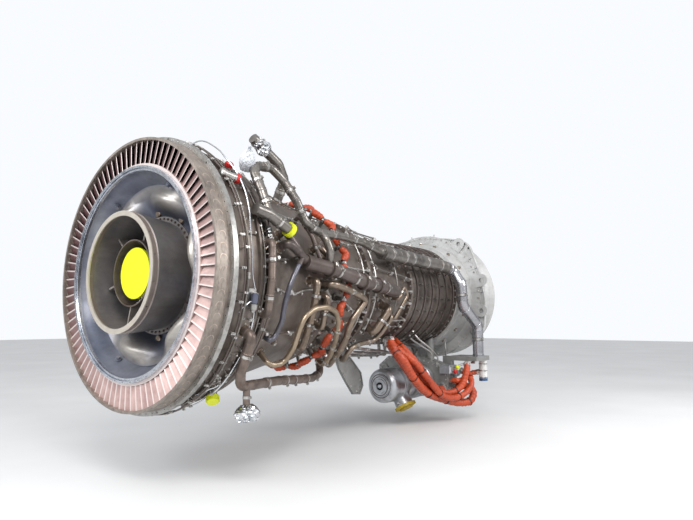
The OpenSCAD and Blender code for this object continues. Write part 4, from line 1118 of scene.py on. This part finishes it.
def lights_and_floor():
    scene = bpy.context.scene
    scene.view_settings.view_transform = "Standard"
    scene.world = bpy.data.worlds.new("studio")
    n = Nodes(scene.world)
    # Dimmer towards the far side and below, as in a hall lit from the open side
    facing = n.add("VectorMath", [(0, n.coords["Generated"]), (1, (-0.55, -0.50, 0.67))],
                   operation="DOT_PRODUCT").outputs["Value"]
    shade = n.add("MapRange", [("Value", facing), ("From Min", -0.75), ("From Max", 0.85),
                               ("To Min", 0.18), ("To Max", 1.08)],
                  interpolation_type="SMOOTHSTEP").outputs["Result"]
    rays = n.add("LightPath").outputs
    seen = n.calc("MAXIMUM", rays["Is Camera Ray"], rays["Is Transmission Ray"])
    strength = n.add("Mix", [(0, seen), (2, shade), (3, 1.0)], data_type="FLOAT").outputs[0]
    sky = n.tree.nodes["Background"].inputs
    n.put(strength, sky["Strength"])
    n.put((0.95, 0.97, 1.0, 1.0), sky["Color"])

    for name, place, aim, size, power, colour in (
            ("key", (-2.5, -4.0, 4.0), (0.8, 0.0, 0.0), (3.0, 2.0), 260.0, (1.0, 0.98, 0.95)),
            ("rear", (-4.5, 0.5, 2.2), (0.0, 0.0, 0.0), (2.5, 2.5), 185.0, (0.95, 0.98, 1.0)),
            ("side", (3.5, -5.0, 2.0), (1.8, 0.0, 0.0), (3.0, 2.0), 150.0, (1.0, 1.0, 1.0))):
        data = bpy.data.lights.new(name, "AREA")
        data.shape = "RECTANGLE"
        data.size, data.size_y = size
        data.energy = power
        data.color = colour
        lamp = bpy.data.objects.new(name, data)
        scene.collection.objects.link(lamp)
        lamp.location = place
        lamp.rotation_euler = (Vector(aim) - Vector(place)).to_track_quat("-Z", "Y").to_euler()

    half, low = 30.0, cad_box[0][2] - 0.12
    mesh = bpy.data.meshes.new("floor")
    mesh.from_pydata([(-half, -half, low), (half, -half, low), (half, half, low), (-half, half, low)],
                     [], [(0, 1, 2, 3)])
    floor = bpy.data.objects.new("floor", mesh)
    scene.collection.objects.link(floor)
    n = skin("studio_floor")
    colour = n.mix(n.ramp(n.noise(0.8), [(0.3, 0.0), (0.7, 1.0)]), (214, 214, 214), (222, 222, 222))
    mesh.materials.append(n.finish(colour, n.span(n.noise(3.0), 0.6, 0.75), 0.0))


def camera():
    data = bpy.data.cameras.new("photo_view")
    data.lens = 28.05
    data.sensor_width = 36.0
    view = bpy.data.objects.new("photo_view", data)
    bpy.context.scene.collection.objects.link(view)
    right = Vector((0.61019, -0.79225, 0.0))
    up = Vector((-0.09253, -0.07127, 0.99316))
    ahead = Vector((0.78683, 0.60602, 0.11680))
    turn = Matrix((right, up, -ahead)).transposed()
    view.matrix_world = Matrix.Translation((-1.715, -2.790, -0.281)) @ turn.to_4x4()
    bpy.context.scene.camera = view


dress_nodes()
flange_bolts()
nozzle_ring_details()
dish_surface()
dish_details()
frame_plates()
pipework()
front_plate()
small_tubes()
harness()
caps_and_wraps()
fuel_sleeves()
hose_bundle()
case_bosses()
accessory_fittings()
for filled in BATCHES:
    filled.done()
lights_and_floor()
camera()
